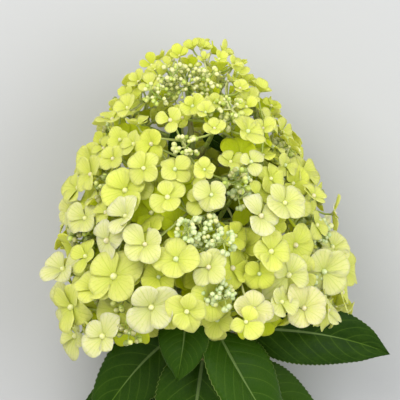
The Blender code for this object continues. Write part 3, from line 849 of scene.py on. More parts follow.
def piece_mesh(name, master, corners, tints):
    """One mesh of copies of a shape, each with its own corners and its own tint."""
    copies, size = corners.shape[:2]
    firsts = size * np.arange(copies)
    links, sizes, spots = [], [], []
    for faces, places, sides in zip(master.faces, master.places, master.sides):
        links.append((faces[None] + firsts[:, None, None]).ravel())
        sizes.append(np.full(copies * len(faces), faces.shape[1]))
        tile = tints[:, None] + TINTS * sides[None]
        foot = np.stack((tile % TILES, tile // TILES), 2)[:, :, None]
        spots.append(((foot + 0.5 + TILE_REACH * places[None]) / TILES).ravel())
    links, sizes = np.concatenate(links), np.concatenate(sizes)
    corners = corners.reshape(-1, 3) + np.array(CENTRE_SHIFT)
    corners[:, 2] = np.maximum(corners[:, 2], GROUND_GAP)
    mesh = bpy.data.meshes.new(name)
    mesh.vertices.add(len(corners))
    mesh.vertices.foreach_set("co", corners.ravel())
    mesh.loops.add(len(links))
    mesh.loops.foreach_set("vertex_index", links)
    mesh.polygons.add(len(sizes))
    mesh.polygons.foreach_set("loop_start", np.cumsum(sizes) - sizes)
    mesh.polygons.foreach_set("use_smooth", np.ones(len(sizes), bool))
    mesh.update(calc_edges=True)
    mesh.uv_layers.new(name=MAP_NAME).data.foreach_set("uv", np.concatenate(spots))
    mesh.validate()
    return mesh


def add_piece(mesh, material, nodes):
    """Makes one finished object of a mesh, which stands for the given nodes."""
    thing = bpy.data.objects.new(mesh.name, mesh)
    bpy.context.scene.collection.objects.link(thing)
    mesh.materials.append(material)
    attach(thing, "root")
    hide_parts(*nodes)


def unit(ways):
    """Ways made one long."""
    return ways / np.maximum(np.linalg.norm(ways, axis=-1, keepdims=True), 1e-9)


def axes_far_from(ways):
    """For each way, an axis that is far from it."""
    return np.where(np.abs(ways[..., 2:]) < STEEP, (0.0, 0.0, 1.0), (1.0, 0.0, 0.0))


def tube_corners(paths, radii, sides):
    """The corners of tubes along paths: copies by rings by coordinates, with a radius a ring."""
    ahead = np.empty_like(paths)
    ahead[:, 1:-1] = paths[:, 2:] - paths[:, :-2]
    ahead[:, 0] = paths[:, 1] - paths[:, 0]
    ahead[:, -1] = paths[:, -1] - paths[:, -2]
    ahead = unit(ahead)
    side = unit(np.cross(ahead[:, 0], axes_far_from(ahead[:, 0])))
    turns = 2.0 * math.pi * np.arange(sides) / sides
    rings = []
    for ring in range(paths.shape[1]):
        way = ahead[:, ring]
        side = unit(side - (side * way).sum(1, keepdims=True) * way)
        up = np.cross(way, side)
        spread = side[:, None] * np.cos(turns)[:, None] + up[:, None] * np.sin(turns)[:, None]
        rings.append(paths[:, ring, None] + spread * radii[:, ring, None, None])
    return np.concatenate(rings, 1)


def bent_paths(starts, knees, ends, rings):
    """Smooth paths from starts to ends that are drawn towards knees."""
    shares = np.linspace(0.0, 1.0, rings)[None, :, None]
    back = 1.0 - shares
    starts, knees, ends = (np.asarray(spots)[:, None] for spots in (starts, knees, ends))
    return starts * back**2 + 2.0 * knees * back * shares + ends * shares**2


def smooth(values):
    """Values kept between nought and one, with a soft start and end."""
    values = np.clip(values, 0.0, 1.0)
    return values * values * (3.0 - 2.0 * values)


# How the bloom's sides are drawn in to the photograph's cone, and from which heights
SLIMMING = 0.13
SLIM_FROM = 0.085
SLIM_SPAN = 0.05
SLIM_CORE = 0.35
FOOT_SLIMMING = 0.10
FOOT_SLIM_TO = 0.065

# A sepal: its narrow foot, its thickness, and how it rises, waves and points
SEPAL_CELLS = 6
SEPAL_CLAW = 0.34
SEPAL_EDGE = 0.00010
SEPAL_THICKNESS = 0.00022
POINT_WIDTH = 0.3
RISE_FADE = 0.35
WAVES = 3.2

# How sepals and florets differ, as ranges of random draws
OUTER_SHARES = (0.78, 1.04)
TURN_STRAY = 8.0
SEPAL_LENGTHS = (0.94, 1.16)
SEPAL_WIDTHS = (0.48, 0.62)
SLOPE_STRAYS = (0.06, 0.20)
CUPS = (0.04, 0.38)
CURLS = (-0.08, 0.40)
RUFFLES = (0.0, 0.11)
NOTCHES = (-0.06, 0.09)
INNER_SLOPE = 0.14
INNER_LIFT = 0.0007
SLOPE_SHARE = 0.8

# Young florets near the tip, which are smaller and still half closed
YOUTH_FROM = 0.55
YOUNG_SHORTER = 0.26
YOUNG_SLOPE = 0.62

# A floret's eye and stalk, and a cluster's tufts, twigs and buds
EYE_SIZES = (0.9, 1.15)
LEAST_EYE = 0.0003
EYE_STAND = 0.7
EYE_TINTS = (0, 1, 0, 6)
STALK_TINTS = (0, 1, 1, 2)
STALK_ENDS = (1.15, 0.75)
STALK_SINK = 0.0001
TWIG_TINT = 2
BUD_STALK_TINT = 1
TWIG_RINGS = 5
CLUSTER_TWIG = (0.0011, 0.0008)
TUFT_TWIG = (0.00065, 0.00045)
TUFT_SHARE = 2.4
TUFTS_BACK_TO = -0.45
TUFT_REACHES = (0.52, 0.72)
TUFT_SAG = 0.1
BUD_SPREADS = (0.75, 1.15)
BUD_TURN_STRAY = 0.2
BUD_SIZES = (0.72, 1.10)
BUD_REACHES = (0.28, 0.50)
BUD_LENGTH = 1.08
BUD_LOBES = 4.0
BUD_LOBE_DEPTH = 0.05
BUD_LOBES_FROM = 0.2

# Which tints the florets have, by depth in the bloom and by height along it; the darker SHADED tint
# deep inside is painted shade
DEEP_SHADE_TINTS = (FRESH, SHADED, YOUNG, SHADED)
INNER_TINTS = (FRESH, LIME, YOUNG, LIME)
TIP_TINTS = (YOUNG, FRESH, YOUNG, LIME, LIME)
MIDDLE_TINTS = (LIME, FRESH, LIME, PALE_LIME, LIME)
FOOT_TINTS = (PALE_LIME, CREAM, LIME, PALE_LIME, CREAM, LIME, BLUSHED)
DEEP_SHARE = 0.72
INNER_SHARE = 0.86
TIP_FROM = 0.76
MIDDLE_FROM = 0.45
DULL_SIDE = -0.05
CREAM_FROM = 0.12

# The florets and small clusters that the solids have no room for: across, height and radius or
# width are in millimetres
Layer = namedtuple("Layer", "depth size crowding apart")
FILLING = (
    Layer(0.96, 0.85, 0.55, 0.76),
    Layer(0.88, 0.90, 0.55, 0.66),
    Layer(0.76, 1.00, 0.60, 0.62),
    Layer(0.58, 1.00, 0.90, 0.62),
    Layer(0.40, 1.00, 0.70, 0.62),
)
FILLED_HEIGHT = 0.186
FILLING_CHOICE = 3
FILLING_UPRIGHT = 0.1
FILLING_STRAY = 0.7
FILLING_WANDER = 0.5
FILLING_DEPTHS = (0.95, 1.04)
FILLING_SIZES = (0.8, 1.1)
CLUSTER_CLEARANCE = 0.35
FRONT_LEAN = Vector((0.0, 0.1, 0.5))
CREAM_BUDS = (0, 0, 4, 0, 3)
MINT_BUDS = (1, 1, 2, 0, 1)
DULL_BUDS = (3, 4, 5, 7)
FRONT_CLUSTERS = (
    (-28, 166, 9, 0.94, CREAM_BUDS),
    (-17, 180, 9, 0.94, CREAM_BUDS),
    (8, 178, 9, 0.94, CREAM_BUDS),
    (24, 157, 9, 0.94, CREAM_BUDS),
    (27, 107, 9, 0.92, DULL_BUDS),
    (-6, 74, 9, 0.92, MINT_BUDS),
    (18, 66, 9, 0.92, MINT_BUDS),
    (-51, 27, 9, 0.82, DULL_BUDS),
    (-47, 4, 9, 0.82, DULL_BUDS),
)
FRONT_FLORETS = (
    (33, 12, 24),
    (5, 115, 15),
)
FOOT_DROOP = 1.6
FOOT_REACH = 0.050


Sepal = namedtuple(
    "Sepal", "place ahead facing length width slope cup curl ruffle phase notch lift tint"
)
Ball = namedtuple("Ball", "place facing radius tint")
Twig = namedtuple("Twig", "start knee end thick thin tint")


class Growth:
    """All the small shapes of one tier of sprays, before they become meshes."""

    def __init__(self):
        self.nodes = []
        self.sepals = []
        self.balls = []
        self.twigs = []


def column(rows, name):
    """One property of many shapes as an array, ready to spread over their corners."""
    values = np.array([getattr(row, name) for row in rows], float)
    return values[:, None] if values.ndim == 1 else values[:, None, :]


def slimmed(places):
    """Draws the bloom's sides in, above its middle and at its left foot."""
    heights = places[..., 1]
    middles = STEM_ACROSS + STEM_LEAN * heights
    share = np.clip(heights / BLOOM_LENGTH, 0.0, LAST_SHARE)
    full = FULL_HALF_WIDTH * (1.0 - share**SHOULDER_POWER) ** CROWN_POWER
    aside = places[..., 0] - middles
    edge = smooth((np.abs(aside) / full - SLIM_CORE) / (1.0 - SLIM_CORE))
    slim = places.copy()
    draw = SLIMMING * smooth((heights - SLIM_FROM) / SLIM_SPAN)
    left_foot = FOOT_SLIMMING * (aside < 0.0) * smooth((FOOT_SLIM_TO - heights) / SLIM_SPAN)
    slim[..., 0] -= aside * edge * (draw + left_foot)
    return slim


def sepal_corners(master, sepals):
    """Bends a copy of the flat sepal for each one that is listed."""
    along, across = rounded(master.corners).T
    share = 0.5 * (along + 1.0)
    behind = -master.corners[:, 2]
    inside = 1.0 - np.abs(master.corners[:, :2]).max(1) ** 2
    claw = SEPAL_CLAW + (1.0 - SEPAL_CLAW) * smooth(2.0 * share)
    tip = np.exp(-((across / POINT_WIDTH) ** 2)) * share**6
    length, width = column(sepals, "length"), column(sepals, "width")
    rise = column(sepals, "slope") * share * (1.0 + RISE_FADE - RISE_FADE * share)
    rise = rise - column(sepals, "curl") * share**3
    wave = np.sin(WAVES * across + column(sepals, "phase")) * share**2
    hollow = column(sepals, "cup") * across**2 + column(sepals, "ruffle") * wave
    forward = length * (share + column(sepals, "notch") * tip)
    aside = width * across * claw
    height = length * rise + width * hollow
    height += column(sepals, "lift") * smooth(4.0 * share)
    height -= behind * (SEPAL_EDGE + SEPAL_THICKNESS * inside)
    ahead, facing = column(sepals, "ahead"), column(sepals, "facing")
    side = np.cross(facing, ahead)
    places = slimmed(column(sepals, "place")) + forward[..., None] * ahead
    return places + aside[..., None] * side + height[..., None] * facing


def ball_corners(master, balls):
    """Sets a copy of the bud, with four shallow lobes, at each place with its tip ahead."""
    shape = master.corners * (1.0, 1.0, BUD_LENGTH)
    turns = np.arctan2(shape[:, 1], shape[:, 0])
    lobe = 1.0 + BUD_LOBE_DEPTH * np.cos(BUD_LOBES * turns) * (shape[:, 2] > BUD_LOBES_FROM)
    shape = shape * lobe[:, None]
    facing = column(balls, "facing")
    side = unit(np.cross(axes_far_from(facing), facing))
    up = np.cross(facing, side)
    radius = column(balls, "radius")[..., None]
    spread = shape[:, :1] * side + shape[:, 1:2] * up + shape[:, 2:] * facing
    return slimmed(column(balls, "place")) + radius * spread


def twig_corners(twigs):
    """The corners of each twig's tube, which thins from its start to its end."""
    starts, knees, ends = (column(twigs, name)[:, 0] for name in ("start", "knee", "end"))
    paths = slimmed(bent_paths(starts, knees, ends, TWIG_RINGS))
    shares = np.linspace(0.0, 1.0, TWIG_RINGS)[None]
    radii = column(twigs, "thick") * (1.0 - shares) + column(twigs, "thin") * shares
    return tube_corners(paths, radii, TWIG_SIDES)


def drawn(tints, looks):
    """One of the tints, at random."""
    return int(looks.choice(tints))


def tint_at(place, looks):
    """A floret's tint: young and lime at the tip, cream and blushed at the foot, partly painted
    shade deep inside.
    """
    height = place.y / BLOOM_LENGTH
    out = Vector((place.x, 0.0, place.z - AXIS_HEIGHT)).length / half_width(place.y)
    # Deep in the bloom, half the draws are the darker SHADED tint: painted shade
    if out < DEEP_SHARE:
        return drawn(DEEP_SHADE_TINTS, looks)
    if out < INNER_SHARE:
        return drawn(INNER_TINTS, looks)
    if height > TIP_FROM:
        return drawn(TIP_TINTS, looks)
    if height > MIDDLE_FROM:
        return drawn(MIDDLE_TINTS, looks)
    return drawn(FOOT_TINTS, looks)


def add_sepals(growth, bloom, tint, looks):
    """Adds a floret's sepals, in two crossed pairs of which the inner one lies on top."""
    lean = UP.rotation_difference(bloom.facing).to_matrix()
    height = bloom.place.y / BLOOM_LENGTH
    youth = float(smooth((height - YOUTH_FROM) / (1.0 - YOUTH_FROM)))
    inner_share = looks.uniform(*OUTER_SHARES)
    slope_stray = looks.uniform(*SLOPE_STRAYS)
    count = int(looks.choice(SEPAL_COUNTS))
    for number in range(count):
        stray = math.radians(looks.normal(0.0, TURN_STRAY))
        turn = bloom.turn + 2.0 * math.pi * number / count + stray
        inner = number % 2
        length = 0.5 * bloom.width * looks.uniform(*SEPAL_LENGTHS) * (inner_share if inner else 1.0)
        length *= 1.0 - YOUNG_SHORTER * youth
        slope = SLOPE_SHARE * bloom.slope + INNER_SLOPE * inner + YOUNG_SLOPE * youth
        growth.sepals.append(
            Sepal(
                place=bloom.place,
                ahead=lean @ Vector((math.cos(turn), math.sin(turn), 0.0)),
                facing=bloom.facing,
                length=length,
                width=length * looks.uniform(*SEPAL_WIDTHS),
                slope=slope + looks.normal(0.0, slope_stray),
                cup=looks.uniform(*CUPS),
                curl=looks.uniform(*CURLS) * (1.0 - youth),
                ruffle=looks.uniform(*RUFFLES),
                phase=looks.uniform(0.0, 2.0 * math.pi),
                notch=looks.uniform(*NOTCHES),
                lift=INNER_LIFT * inner,
                tint=tint,
            )
        )


def open_floret(growth, bloom, root, knee, tint, looks):
    """Adds a floret's sepals, the round bud in its middle and its stalk."""
    add_sepals(growth, bloom, tint, looks)
    eye = EYE_SIZE * bloom.width * looks.uniform(*EYE_SIZES) + LEAST_EYE
    middle = bloom.place + bloom.facing * (EYE_STAND * eye)
    growth.balls.append(Ball(middle, bloom.facing, eye, drawn(EYE_TINTS, looks)))
    thick, thin = (STALK_RADIUS * share for share in STALK_ENDS)
    end = bloom.place - bloom.facing * STALK_SINK
    growth.twigs.append(Twig(root, knee, end, thick, thin, drawn(STALK_TINTS, looks)))


def spiral_ways(count, pole, least):
    """Ways spread evenly over a ball, but for those that point too far back from the pole."""
    ways = []
    for number in range(count):
        height = 1.0 - 2.0 * (number + 0.5) / count
        if height < least:
            break
        turn = number * GOLDEN_TURN
        flat = math.sqrt(1.0 - height * height)
        ways.append(Vector((flat * math.cos(turn), flat * math.sin(turn), height)))
    lean = UP.rotation_difference(pole)
    return [lean @ way for way in ways]


def grow_cluster(growth, cluster, root, pole, tints, looks):
    """Fills a cluster's ball with tufts of buds, each on fine twigs from the ball's middle."""
    place, radius = cluster
    growth.twigs.append(Twig(root, root.lerp(place, 0.5), place, *CLUSTER_TWIG, TWIG_TINT))
    count = int(4.0 * math.pi * (radius / TUFT_SPACING) ** 2 / TUFT_SHARE)
    for way in spiral_ways(count, pole, TUFTS_BACK_TO):
        node = place + way * (radius * looks.uniform(*TUFT_REACHES))
        knee = place.lerp(node, 0.5) - pole * TUFT_SAG * radius
        growth.twigs.append(Twig(place, knee, node, *TUFT_TWIG, drawn(tints, looks)))
        add_tuft(growth, node, way, radius, tints, looks)


def add_tuft(growth, node, way, radius, tints, looks):
    """Adds a few buds on short stalks that part from one point."""
    helper = way.orthogonal().normalized()
    first = looks.uniform(0.0, 2.0 * math.pi)
    count = BUDS_IN_TUFT if radius > SMALL_CLUSTER else BUDS_IN_SMALL_TUFT
    full_size = BUD_RADIUS * (YOUNG_BUD_SHARE if node.y > TIERS[-1].height else 1.0)
    for number in range(count):
        ray = way.copy()
        if number > 0:
            turn = first + 2.0 * math.pi * number / (count - 1) + looks.normal(0.0, BUD_TURN_STRAY)
            aside = helper.copy()
            aside.rotate(Matrix.Rotation(turn, 3, way))
            ray = (way + aside * looks.uniform(*BUD_SPREADS)).normalized()
        size = full_size * looks.uniform(*BUD_SIZES)
        place = node + ray * radius * looks.uniform(*BUD_REACHES)
        if place.z < size:
            continue
        thick, thin = BUD_STALK_RADIUS * 1.2, BUD_STALK_RADIUS
        growth.twigs.append(Twig(node, node.lerp(place, 0.5), place, thick, thin, BUD_STALK_TINT))
        growth.balls.append(Ball(place, ray, size, drawn(tints, looks)))


def cluster_tints(place):
    """The bud tints of a cluster: pale at the tip and in front, dull and green behind."""
    if place.z < AXIS_HEIGHT or place.x < DULL_SIDE:
        return DULL_BUDS
    if place.y > CREAM_FROM:
        return CREAM_BUDS
    return MINT_BUDS


def dress_spray(growth, spray, looks):
    """Grows one spray's stem, florets and clusters of buds."""
    growth.nodes.append(spray.node)
    path = spray.path[BRANCH_STEPS - 1:] if spray.level != TIP_LEVEL else spray.path
    start = 0.5 * (BRANCH_RADIUS + branch_end_radius())
    count = len(path) - 1
    for step, (low, high) in enumerate(zip(path, path[1:])):
        ends = (start + (SPRAY_END_RADIUS - start) * end / count for end in (step, step + 1))
        growth.twigs.append(Twig(low, low.lerp(high, 0.5), high, *ends, TWIG_TINT))
    for bloom, (root, knee, _) in spray.florets:
        open_floret(growth, bloom, root, knee, tint_at(bloom.place, looks), looks)
    pole = (spray.points[-1] - spray.points[-2]).normalized()
    root = spray.points[-2].lerp(spray.points[-1], 0.5)
    for cluster in spray.clusters:
        grow_cluster(growth, cluster, root, pole, cluster_tints(cluster.place), looks)


def front_place(across, height, depth):
    """A point in front at a depth in the bloom, where the camera sees it at across and height."""
    radius = half_width(height)
    turn = math.asin(min(max(across / radius, -1.0), 1.0))
    place, outward = on_dome(height, turn, 0.0, depth)
    place.x = across
    return place, outward


def add_front_clusters(sprays, growths, looks):
    """Adds the small clusters of buds that are too fine for the solids, and gives their places."""
    places = []
    for across, height, radius, depth, tints in FRONT_CLUSTERS:
        across, height, radius = (size * MILLIMETRE for size in (across, height, radius))
        place, outward = front_place(across, height, depth)
        spray = min(sprays, key=lambda spray: (spray.points[-1] - place).length)
        cluster = Cluster(place, radius)
        root = spray.nearest_roots(place)[0]
        grow_cluster(growths[spray.level], cluster, root, outward, tints, looks)
        places.append(cluster)
    return places


def far_enough(place, width, florets, least):
    """Tells whether a new floret would stand clear enough of the others."""
    for other in florets:
        if (other.place - place).length < least * 0.5 * (other.width + width):
            return False
    return True


def has_room(place, width, apart, sprays, florets, clusters):
    """Tells whether a filled floret may stand there, clear of the others and of what shows."""
    if place.z < 0.5 * width or not far_enough(place, width, florets, apart):
        return False
    if not leaves_open(place, width, sprays):
        return False
    clearance = CLUSTER_CLEARANCE * width
    return all((place - cluster.place).length >= cluster.radius + clearance for cluster in clusters)


def fill_layer(sprays, growths, florets, clusters, layer, looks):
    """Adds the florets that are too many for the solids, wherever the bloom has room."""
    height = FIRST_HEIGHT
    number = 0
    while height < FILLED_HEIGHT:
        width = floret_width(height) * layer.size
        radius, height = spiral_step(height, width, layer.crowding, layer.depth)
        number += 1
        for attempt in range(ATTEMPTS):
            turn = number * GOLDEN_TURN + looks.uniform(-1.0, 1.0) * width / radius
            foot = FOOT_HEIGHT + FOOT_TILT * radius * math.sin(turn)
            along = max(height + looks.uniform(-FILLING_WANDER, FILLING_WANDER) * width, foot)
            along = min(along, BLOOM_LENGTH - EYE_SHARE * width)
            depth = layer.depth * looks.uniform(*FILLING_DEPTHS)
            place, outward = on_dome(along, turn, EYE_SHARE * width, depth)
            if not has_room(place, width, layer.apart, sprays, florets, clusters):
                continue
            stray = Vector(looks.uniform(-1.0, 1.0, 3))
            droop = Vector((0.0, FOOT_DROOP * max(1.0 - along / FOOT_REACH, 0.0), 0.0))
            facing = (outward + FILLING_STRAY * stray + LAYER_LEAN - droop).normalized()
            slope = CUP_SLOPE + CUP_SPREAD * looks.uniform(-1.0, 1.0)
            spin = looks.uniform(0.0, math.pi)
            bloom = Bloom(place, facing, spin, width * looks.uniform(*FILLING_SIZES), slope)
            if add_filling(sprays, growths, bloom, looks):
                florets.append(bloom)
                break


def add_front_floret(sprays, growths, florets, row, looks):
    """Adds a floret that looks out where the photograph shows one and the solids have no room."""
    across, height, width = (size * MILLIMETRE for size in row)
    place, outward = front_place(across, height, 1.0)
    facing = (outward + FRONT_LEAN).normalized()
    bloom = Bloom(place, facing, looks.uniform(0.0, math.pi), width, CUP_SLOPE)
    if add_filling(sprays, growths, bloom, looks):
        florets.append(bloom)


def add_filling(sprays, growths, bloom, looks):
    """Adds one floret to the nearest spray whose stem lies behind it, and tells if one does."""
    by_distance = sorted(sprays, key=lambda spray: (spray.points[-1] - bloom.place).length)
    for spray in by_distance[:FILLING_CHOICE]:
        for root in spray.nearest_roots(bloom.place):
            if (bloom.place - root).normalized().dot(bloom.facing) > FILLING_UPRIGHT:
                knee = stalk_points(root, bloom)[1]
                tint = tint_at(bloom.place, looks)
                open_floret(growths[spray.level], bloom, root, knee, tint, looks)
                return True
    return False


def grow_bloom():
    """Grows every spray again and carries it on to its fine twigs, buds and fillings."""
    sprays = grow_plant()
    looks = np.random.default_rng(SEED)
    growths = {level: Growth() for level in range(1, TIP_LEVEL + 1)}
    for spray in sprays:
        dress_spray(growths[spray.level], spray, looks)
    florets = [bloom for spray in sprays for bloom, _ in spray.florets]
    clusters = add_front_clusters(sprays, growths, looks)
    for row in FRONT_FLORETS:
        add_front_floret(sprays, growths, florets, row, looks)
    for layer in FILLING:
        fill_layer(sprays, growths, florets, clusters, layer, looks)
    return growths, sprays


def join_bloom(growths, finishes):
    """Joins each tier's sepals, buds and twigs into a piece of each."""
    sepal = sheet_master("sepal", SEPAL_CELLS, SEPAL_CELLS, disc_place)
    bud = bud_master()
    twig = tube_master(TWIG_RINGS, TWIG_SIDES)
    for level, growth in growths.items():
        for kind, slot, master, rows, corners in (
            ("petal", "blossom", sepal, growth.sepals, sepal_corners(sepal, growth.sepals)),
            ("bud", "blossom", bud, growth.balls, ball_corners(bud, growth.balls)),
            ("twig", "stem", twig, growth.twigs, twig_corners(growth.twigs)),
        ):
            tints = np.array([row.tint for row in rows])
            mesh = piece_mesh(f"{kind}s_{level}", master, corners, tints)
            add_piece(mesh, finishes[kind], growth.nodes)


# The stem and the branches: their meshes, how far they run into their neighbours, their swells
BARK_RINGS = 140
BARK_SIDES = 20
BOUGH_RINGS = 12
BOUGH_SIDES = 10
STEM_OVERLAP = 0.002
BRANCH_INWARD = 0.7
FOOT_SWELL = 0.35
FOOT_SWELL_SPAN = 0.12

# The leaves: their meshes, teeth, veins, waves and thickness, and the tint of each in turn
LEAF_ROWS = 120
LEAF_COLUMNS = 18
TEETH = 30
TOOTH_DEPTH = 0.050
TOOTH_START = 0.001
VEIN_PAIRS = 9.0
VEIN_RELIEF = 0.00055
VEIN_RISE = 0.16
VEIN_BEND = 0.14
MIDRIB_RELIEF = 0.0005
MIDRIB_WIDTH = 0.04
LEAF_WAVE = 0.0016
LEAF_SAG = 0.10
LEAF_EDGE = 0.00022
LEAF_MIDDLE = 0.0003
TIP_FROM_SHARE = 0.80
TIP_NARROWING = 0.30
ROOT_TO_SHARE = 0.1
LEAF_DEAL = (0, 1, 2, 1, 2, 4, 0, 1, 3, 3, 3)

# The stalks of the leaves
STALK_SIDES_SEEN = 8
STALK_TINT = 6
STALK_INSIDE = 0.10
STALK_BELOW = 0.0006
STALK_FOOT_SHARE = 1.35
STALK_THINNING = 0.75


def bark_relief(paths, sides):
    """Swells and ribs on a limb's bark, as a factor on the radius by ring and side."""
    turns = 2.0 * math.pi * np.arange(sides) / sides
    along = paths[:, :, 1:2] / MILLIMETRE
    ribs = 0.020 * np.sin(5.0 * turns + 0.05 * along) + 0.012 * np.sin(9.0 * turns - 0.11 * along)
    knots = 0.015 * np.sin(0.35 * along + 2.0 * np.sin(2.0 * turns))
    knots += 0.01 * np.sin(0.9 * along + 3.0 * turns)
    return 1.0 + ribs + knots


def limb_corners(paths, radii, sides):
    """The corners of limbs with relief on their bark."""
    corners = tube_corners(paths, radii, sides)
    middles = np.repeat(paths, sides, 1)
    relief = bark_relief(paths, sides).reshape(len(paths), -1, 1)
    return middles + (corners - middles) * relief


def dress_stem(finishes):
    """Replaces the stem with one that has ribs, leaf nodes and a flat cut."""
    heights = np.linspace(STEM_CUT, STEM_TOP + STEM_OVERLAP, BARK_RINGS)
    path = np.array([stem_point(height) for height in heights])[None]
    radii = np.array([stem_radius(height) for height in heights])[None]
    corners = limb_corners(path, radii, BARK_SIDES)
    tube = tube_master(BARK_RINGS, BARK_SIDES)
    mesh = piece_mesh("stem_bark", tube, corners, np.array([0]))
    add_piece(mesh, finishes["bark"], ["stem"])


def dress_branches(sprays, finishes):
    """Replaces the branches with ones that grow out of the stem and into their sprays."""
    grown = [spray for spray in sprays if spray.level != TIP_LEVEL]
    starts, knees, ends = [], [], []
    for spray in grown:
        foot, middle, end = spray.path[:BRANCH_STEPS + 1:BRANCH_STEPS // 2]
        starts.append(foot - (foot - stem_point(foot.y)) * BRANCH_INWARD)
        knees.append(middle * 2.0 - (foot + end) * 0.5)
        ends.append(end)
    paths = slimmed(bent_paths(starts, knees, ends, BOUGH_RINGS))
    shares = np.linspace(0.0, 1.0, BOUGH_RINGS)
    radius = BRANCH_RADIUS + (branch_end_radius() - BRANCH_RADIUS) * shares
    radius = radius * (1.0 + FOOT_SWELL * np.exp(-((shares / FOOT_SWELL_SPAN) ** 2)))
    corners = limb_corners(paths, np.repeat(radius[None], len(grown), 0), BOUGH_SIDES)
    tube = tube_master(BOUGH_RINGS, BOUGH_SIDES)
    mesh = piece_mesh("branches_bark", tube, corners, np.zeros(len(grown), int))
    nodes = [spray.node.replace("spray", "branch") for spray in grown]
    add_piece(mesh, finishes["bark"], nodes)


def leaf_frame(leaf, shares):
    """The points along a leaf's midrib, and the ways across and up from it."""
    ends = (leaf.root, leaf.middle, leaf.tip)
    root, middle, tip = (np.array(point) * MILLIMETRE for point in ends)
    shares = shares[:, None]
    back = 1.0 - shares
    points = root * back**2 + 2.0 * middle * back * shares + tip * shares**2
    along = (middle - root) * back + (tip - middle) * shares
    across = unit(np.cross(unit(np.array(leaf.facing)), along))
    return points, across, unit(np.cross(along, across))


def leaf_width(shares):
    """A leaf's width along it as a share of its full width, drawn out to a fine tip."""
    fullest = LEAF_ROOT_POWER / (LEAF_ROOT_POWER + LEAF_TIP_POWER)
    full = fullest**LEAF_ROOT_POWER * (1.0 - fullest) ** LEAF_TIP_POWER
    width = shares**LEAF_ROOT_POWER * (1.0 - shares) ** LEAF_TIP_POWER / full
    width *= 1.0 - TIP_NARROWING * smooth((shares - TIP_FROM_SHARE) / (1.0 - TIP_FROM_SHARE))
    root = LEAF_LEAST_WIDTH * (1.0 - smooth(shares / ROOT_TO_SHARE))
    return np.maximum(width, root)


def leaf_relief(share, side, behind):
    """The height of a leaf's veins and midrib over its face, quilted between the veins."""
    size = abs(side)
    veins = (share - VEIN_RISE * size - VEIN_BEND * size**2) * VEIN_PAIRS
    quilt = np.abs((veins % 1.0) - 0.5) * 2.0
    relief = VEIN_RELIEF * (1.0 - quilt**3) * smooth(size * 5.0) * (1.0 - size**4)
    rib = MIDRIB_RELIEF * np.exp(-((side / MIDRIB_WIDTH) ** 2)) * (1.0 - 0.7 * share)
    return relief - rib * (1.0 - 2.0 * behind)


def leaf_corners(master, leaf, number):
    """A leaf's blade: toothed, folded at its midrib, waved and thicker in the middle."""
    share = 0.5 * (master.corners[:, 0] + 1.0)
    side = master.corners[:, 1]
    behind = -master.corners[:, 2]
    size = abs(side)
    points, across, lift = leaf_frame(leaf, share)
    tooth = (share * TEETH + TOOTH_START) % 1.0
    depth = TOOTH_DEPTH * smooth(share / 0.12) * size**5
    reach = 0.5 * leaf.width * MILLIMETRE * leaf_width(share) * (1.0 - depth * (1.0 - tooth))
    phase = 9.0 * share + 2.1 * number + np.sign(side)
    wave = LEAF_WAVE * np.sin(phase) * size**2.5 * smooth(share * 4.0)
    fold = reach * (LEAF_FOLD * np.tanh(size * 1.6) - LEAF_SAG * size**2.6)
    height = fold + leaf_relief(share, side, behind) + wave
    height -= behind * (LEAF_EDGE + LEAF_MIDDLE * (1.0 - size))
    corners = points + across * (side * reach)[:, None] + lift * height[:, None]
    return corners[None]


def leaf_stalk(leaf):
    """A leaf's stalk, from inside the stem to inside the foot of the midrib, and its radius."""
    root = Vector(leaf.root) * MILLIMETRE
    foot_height = leaf.foot * MILLIMETRE
    middle = stem_point(foot_height)
    out = ((root - middle) * Vector((1.0, 0.0, 1.0))).normalized()
    start = middle + out * 0.5 * stem_radius(foot_height)
    knee = start.lerp(root, 0.5) + out * LEAF_STALK_BOW * (root - start).length
    points, _, lift = leaf_frame(leaf, np.array([STALK_INSIDE]))
    end = Vector(points[0]) - Vector(lift[0]) * STALK_BELOW
    return start, knee, end, LEAF_STALK_RADIUS * leaf.width * MILLIMETRE


def dress_leaves(finishes):
    """Replaces each leaf with a toothed blade on its stalk."""
    blade = sheet_master("leaf", LEAF_ROWS, LEAF_COLUMNS, square_place)
    stalk = tube_master(BOUGH_RINGS, STALK_SIDES_SEEN)
    shares = np.linspace(0.0, 1.0, BOUGH_RINGS)
    taper = STALK_FOOT_SHARE - STALK_THINNING * smooth(shares * 1.2)
    for number, leaf in enumerate(LEAVES):
        corners = leaf_corners(blade, leaf, number)
        mesh = piece_mesh(f"{leaf.name}_blade", blade, corners, np.array([LEAF_DEAL[number]]))
        add_piece(mesh, finishes["leaf"], [leaf.name])
        start, knee, end, radius = leaf_stalk(leaf)
        paths = bent_paths([start], [knee], [end], BOUGH_RINGS)
        corners = tube_corners(paths, (radius * taper)[None], STALK_SIDES_SEEN)
        mesh = piece_mesh(f"{leaf.name}_stalk", stalk, corners, np.array([STALK_TINT]))
        add_piece(mesh, finishes["twig"], [leaf.name])


# Colours that the finishes mix into the tints
GLOW_CAST = (1.0, 1.0, 0.22)
PETAL_THROAT = (0.44, 0.56, 0.008, 1.0)
PETAL_VEIN = (0.38, 0.50, 0.008, 1.0)
PETAL_RIM = (0.90, 0.94, 0.68, 1.0)
PETAL_FRECKLE = (0.76, 0.62, 0.18, 1.0)
# Painted shade: a darker, deeper green laid over the sepals in random patches
PETAL_PAINTED_SHADE = (0.38, 0.50, 0.006, 1.0)
PETAL_BACK = (0.58, 0.64, 0.10, 1.0)
BUD_FOOT = (0.30, 0.42, 0.05, 1.0)
BUD_SEAM = (0.36, 0.42, 0.10, 1.0)
BUD_TIP = (0.90, 0.88, 0.62, 1.0)
TWIG_STREAK = (0.30, 0.36, 0.06, 1.0)
TWIG_START = (0.34, 0.30, 0.10, 1.0)
BARK_OLIVE = (0.20, 0.28, 0.045, 1.0)
BARK_STREAK = (0.36, 0.42, 0.12, 1.0)
BARK_WOOD = (0.26, 0.16, 0.07, 1.0)
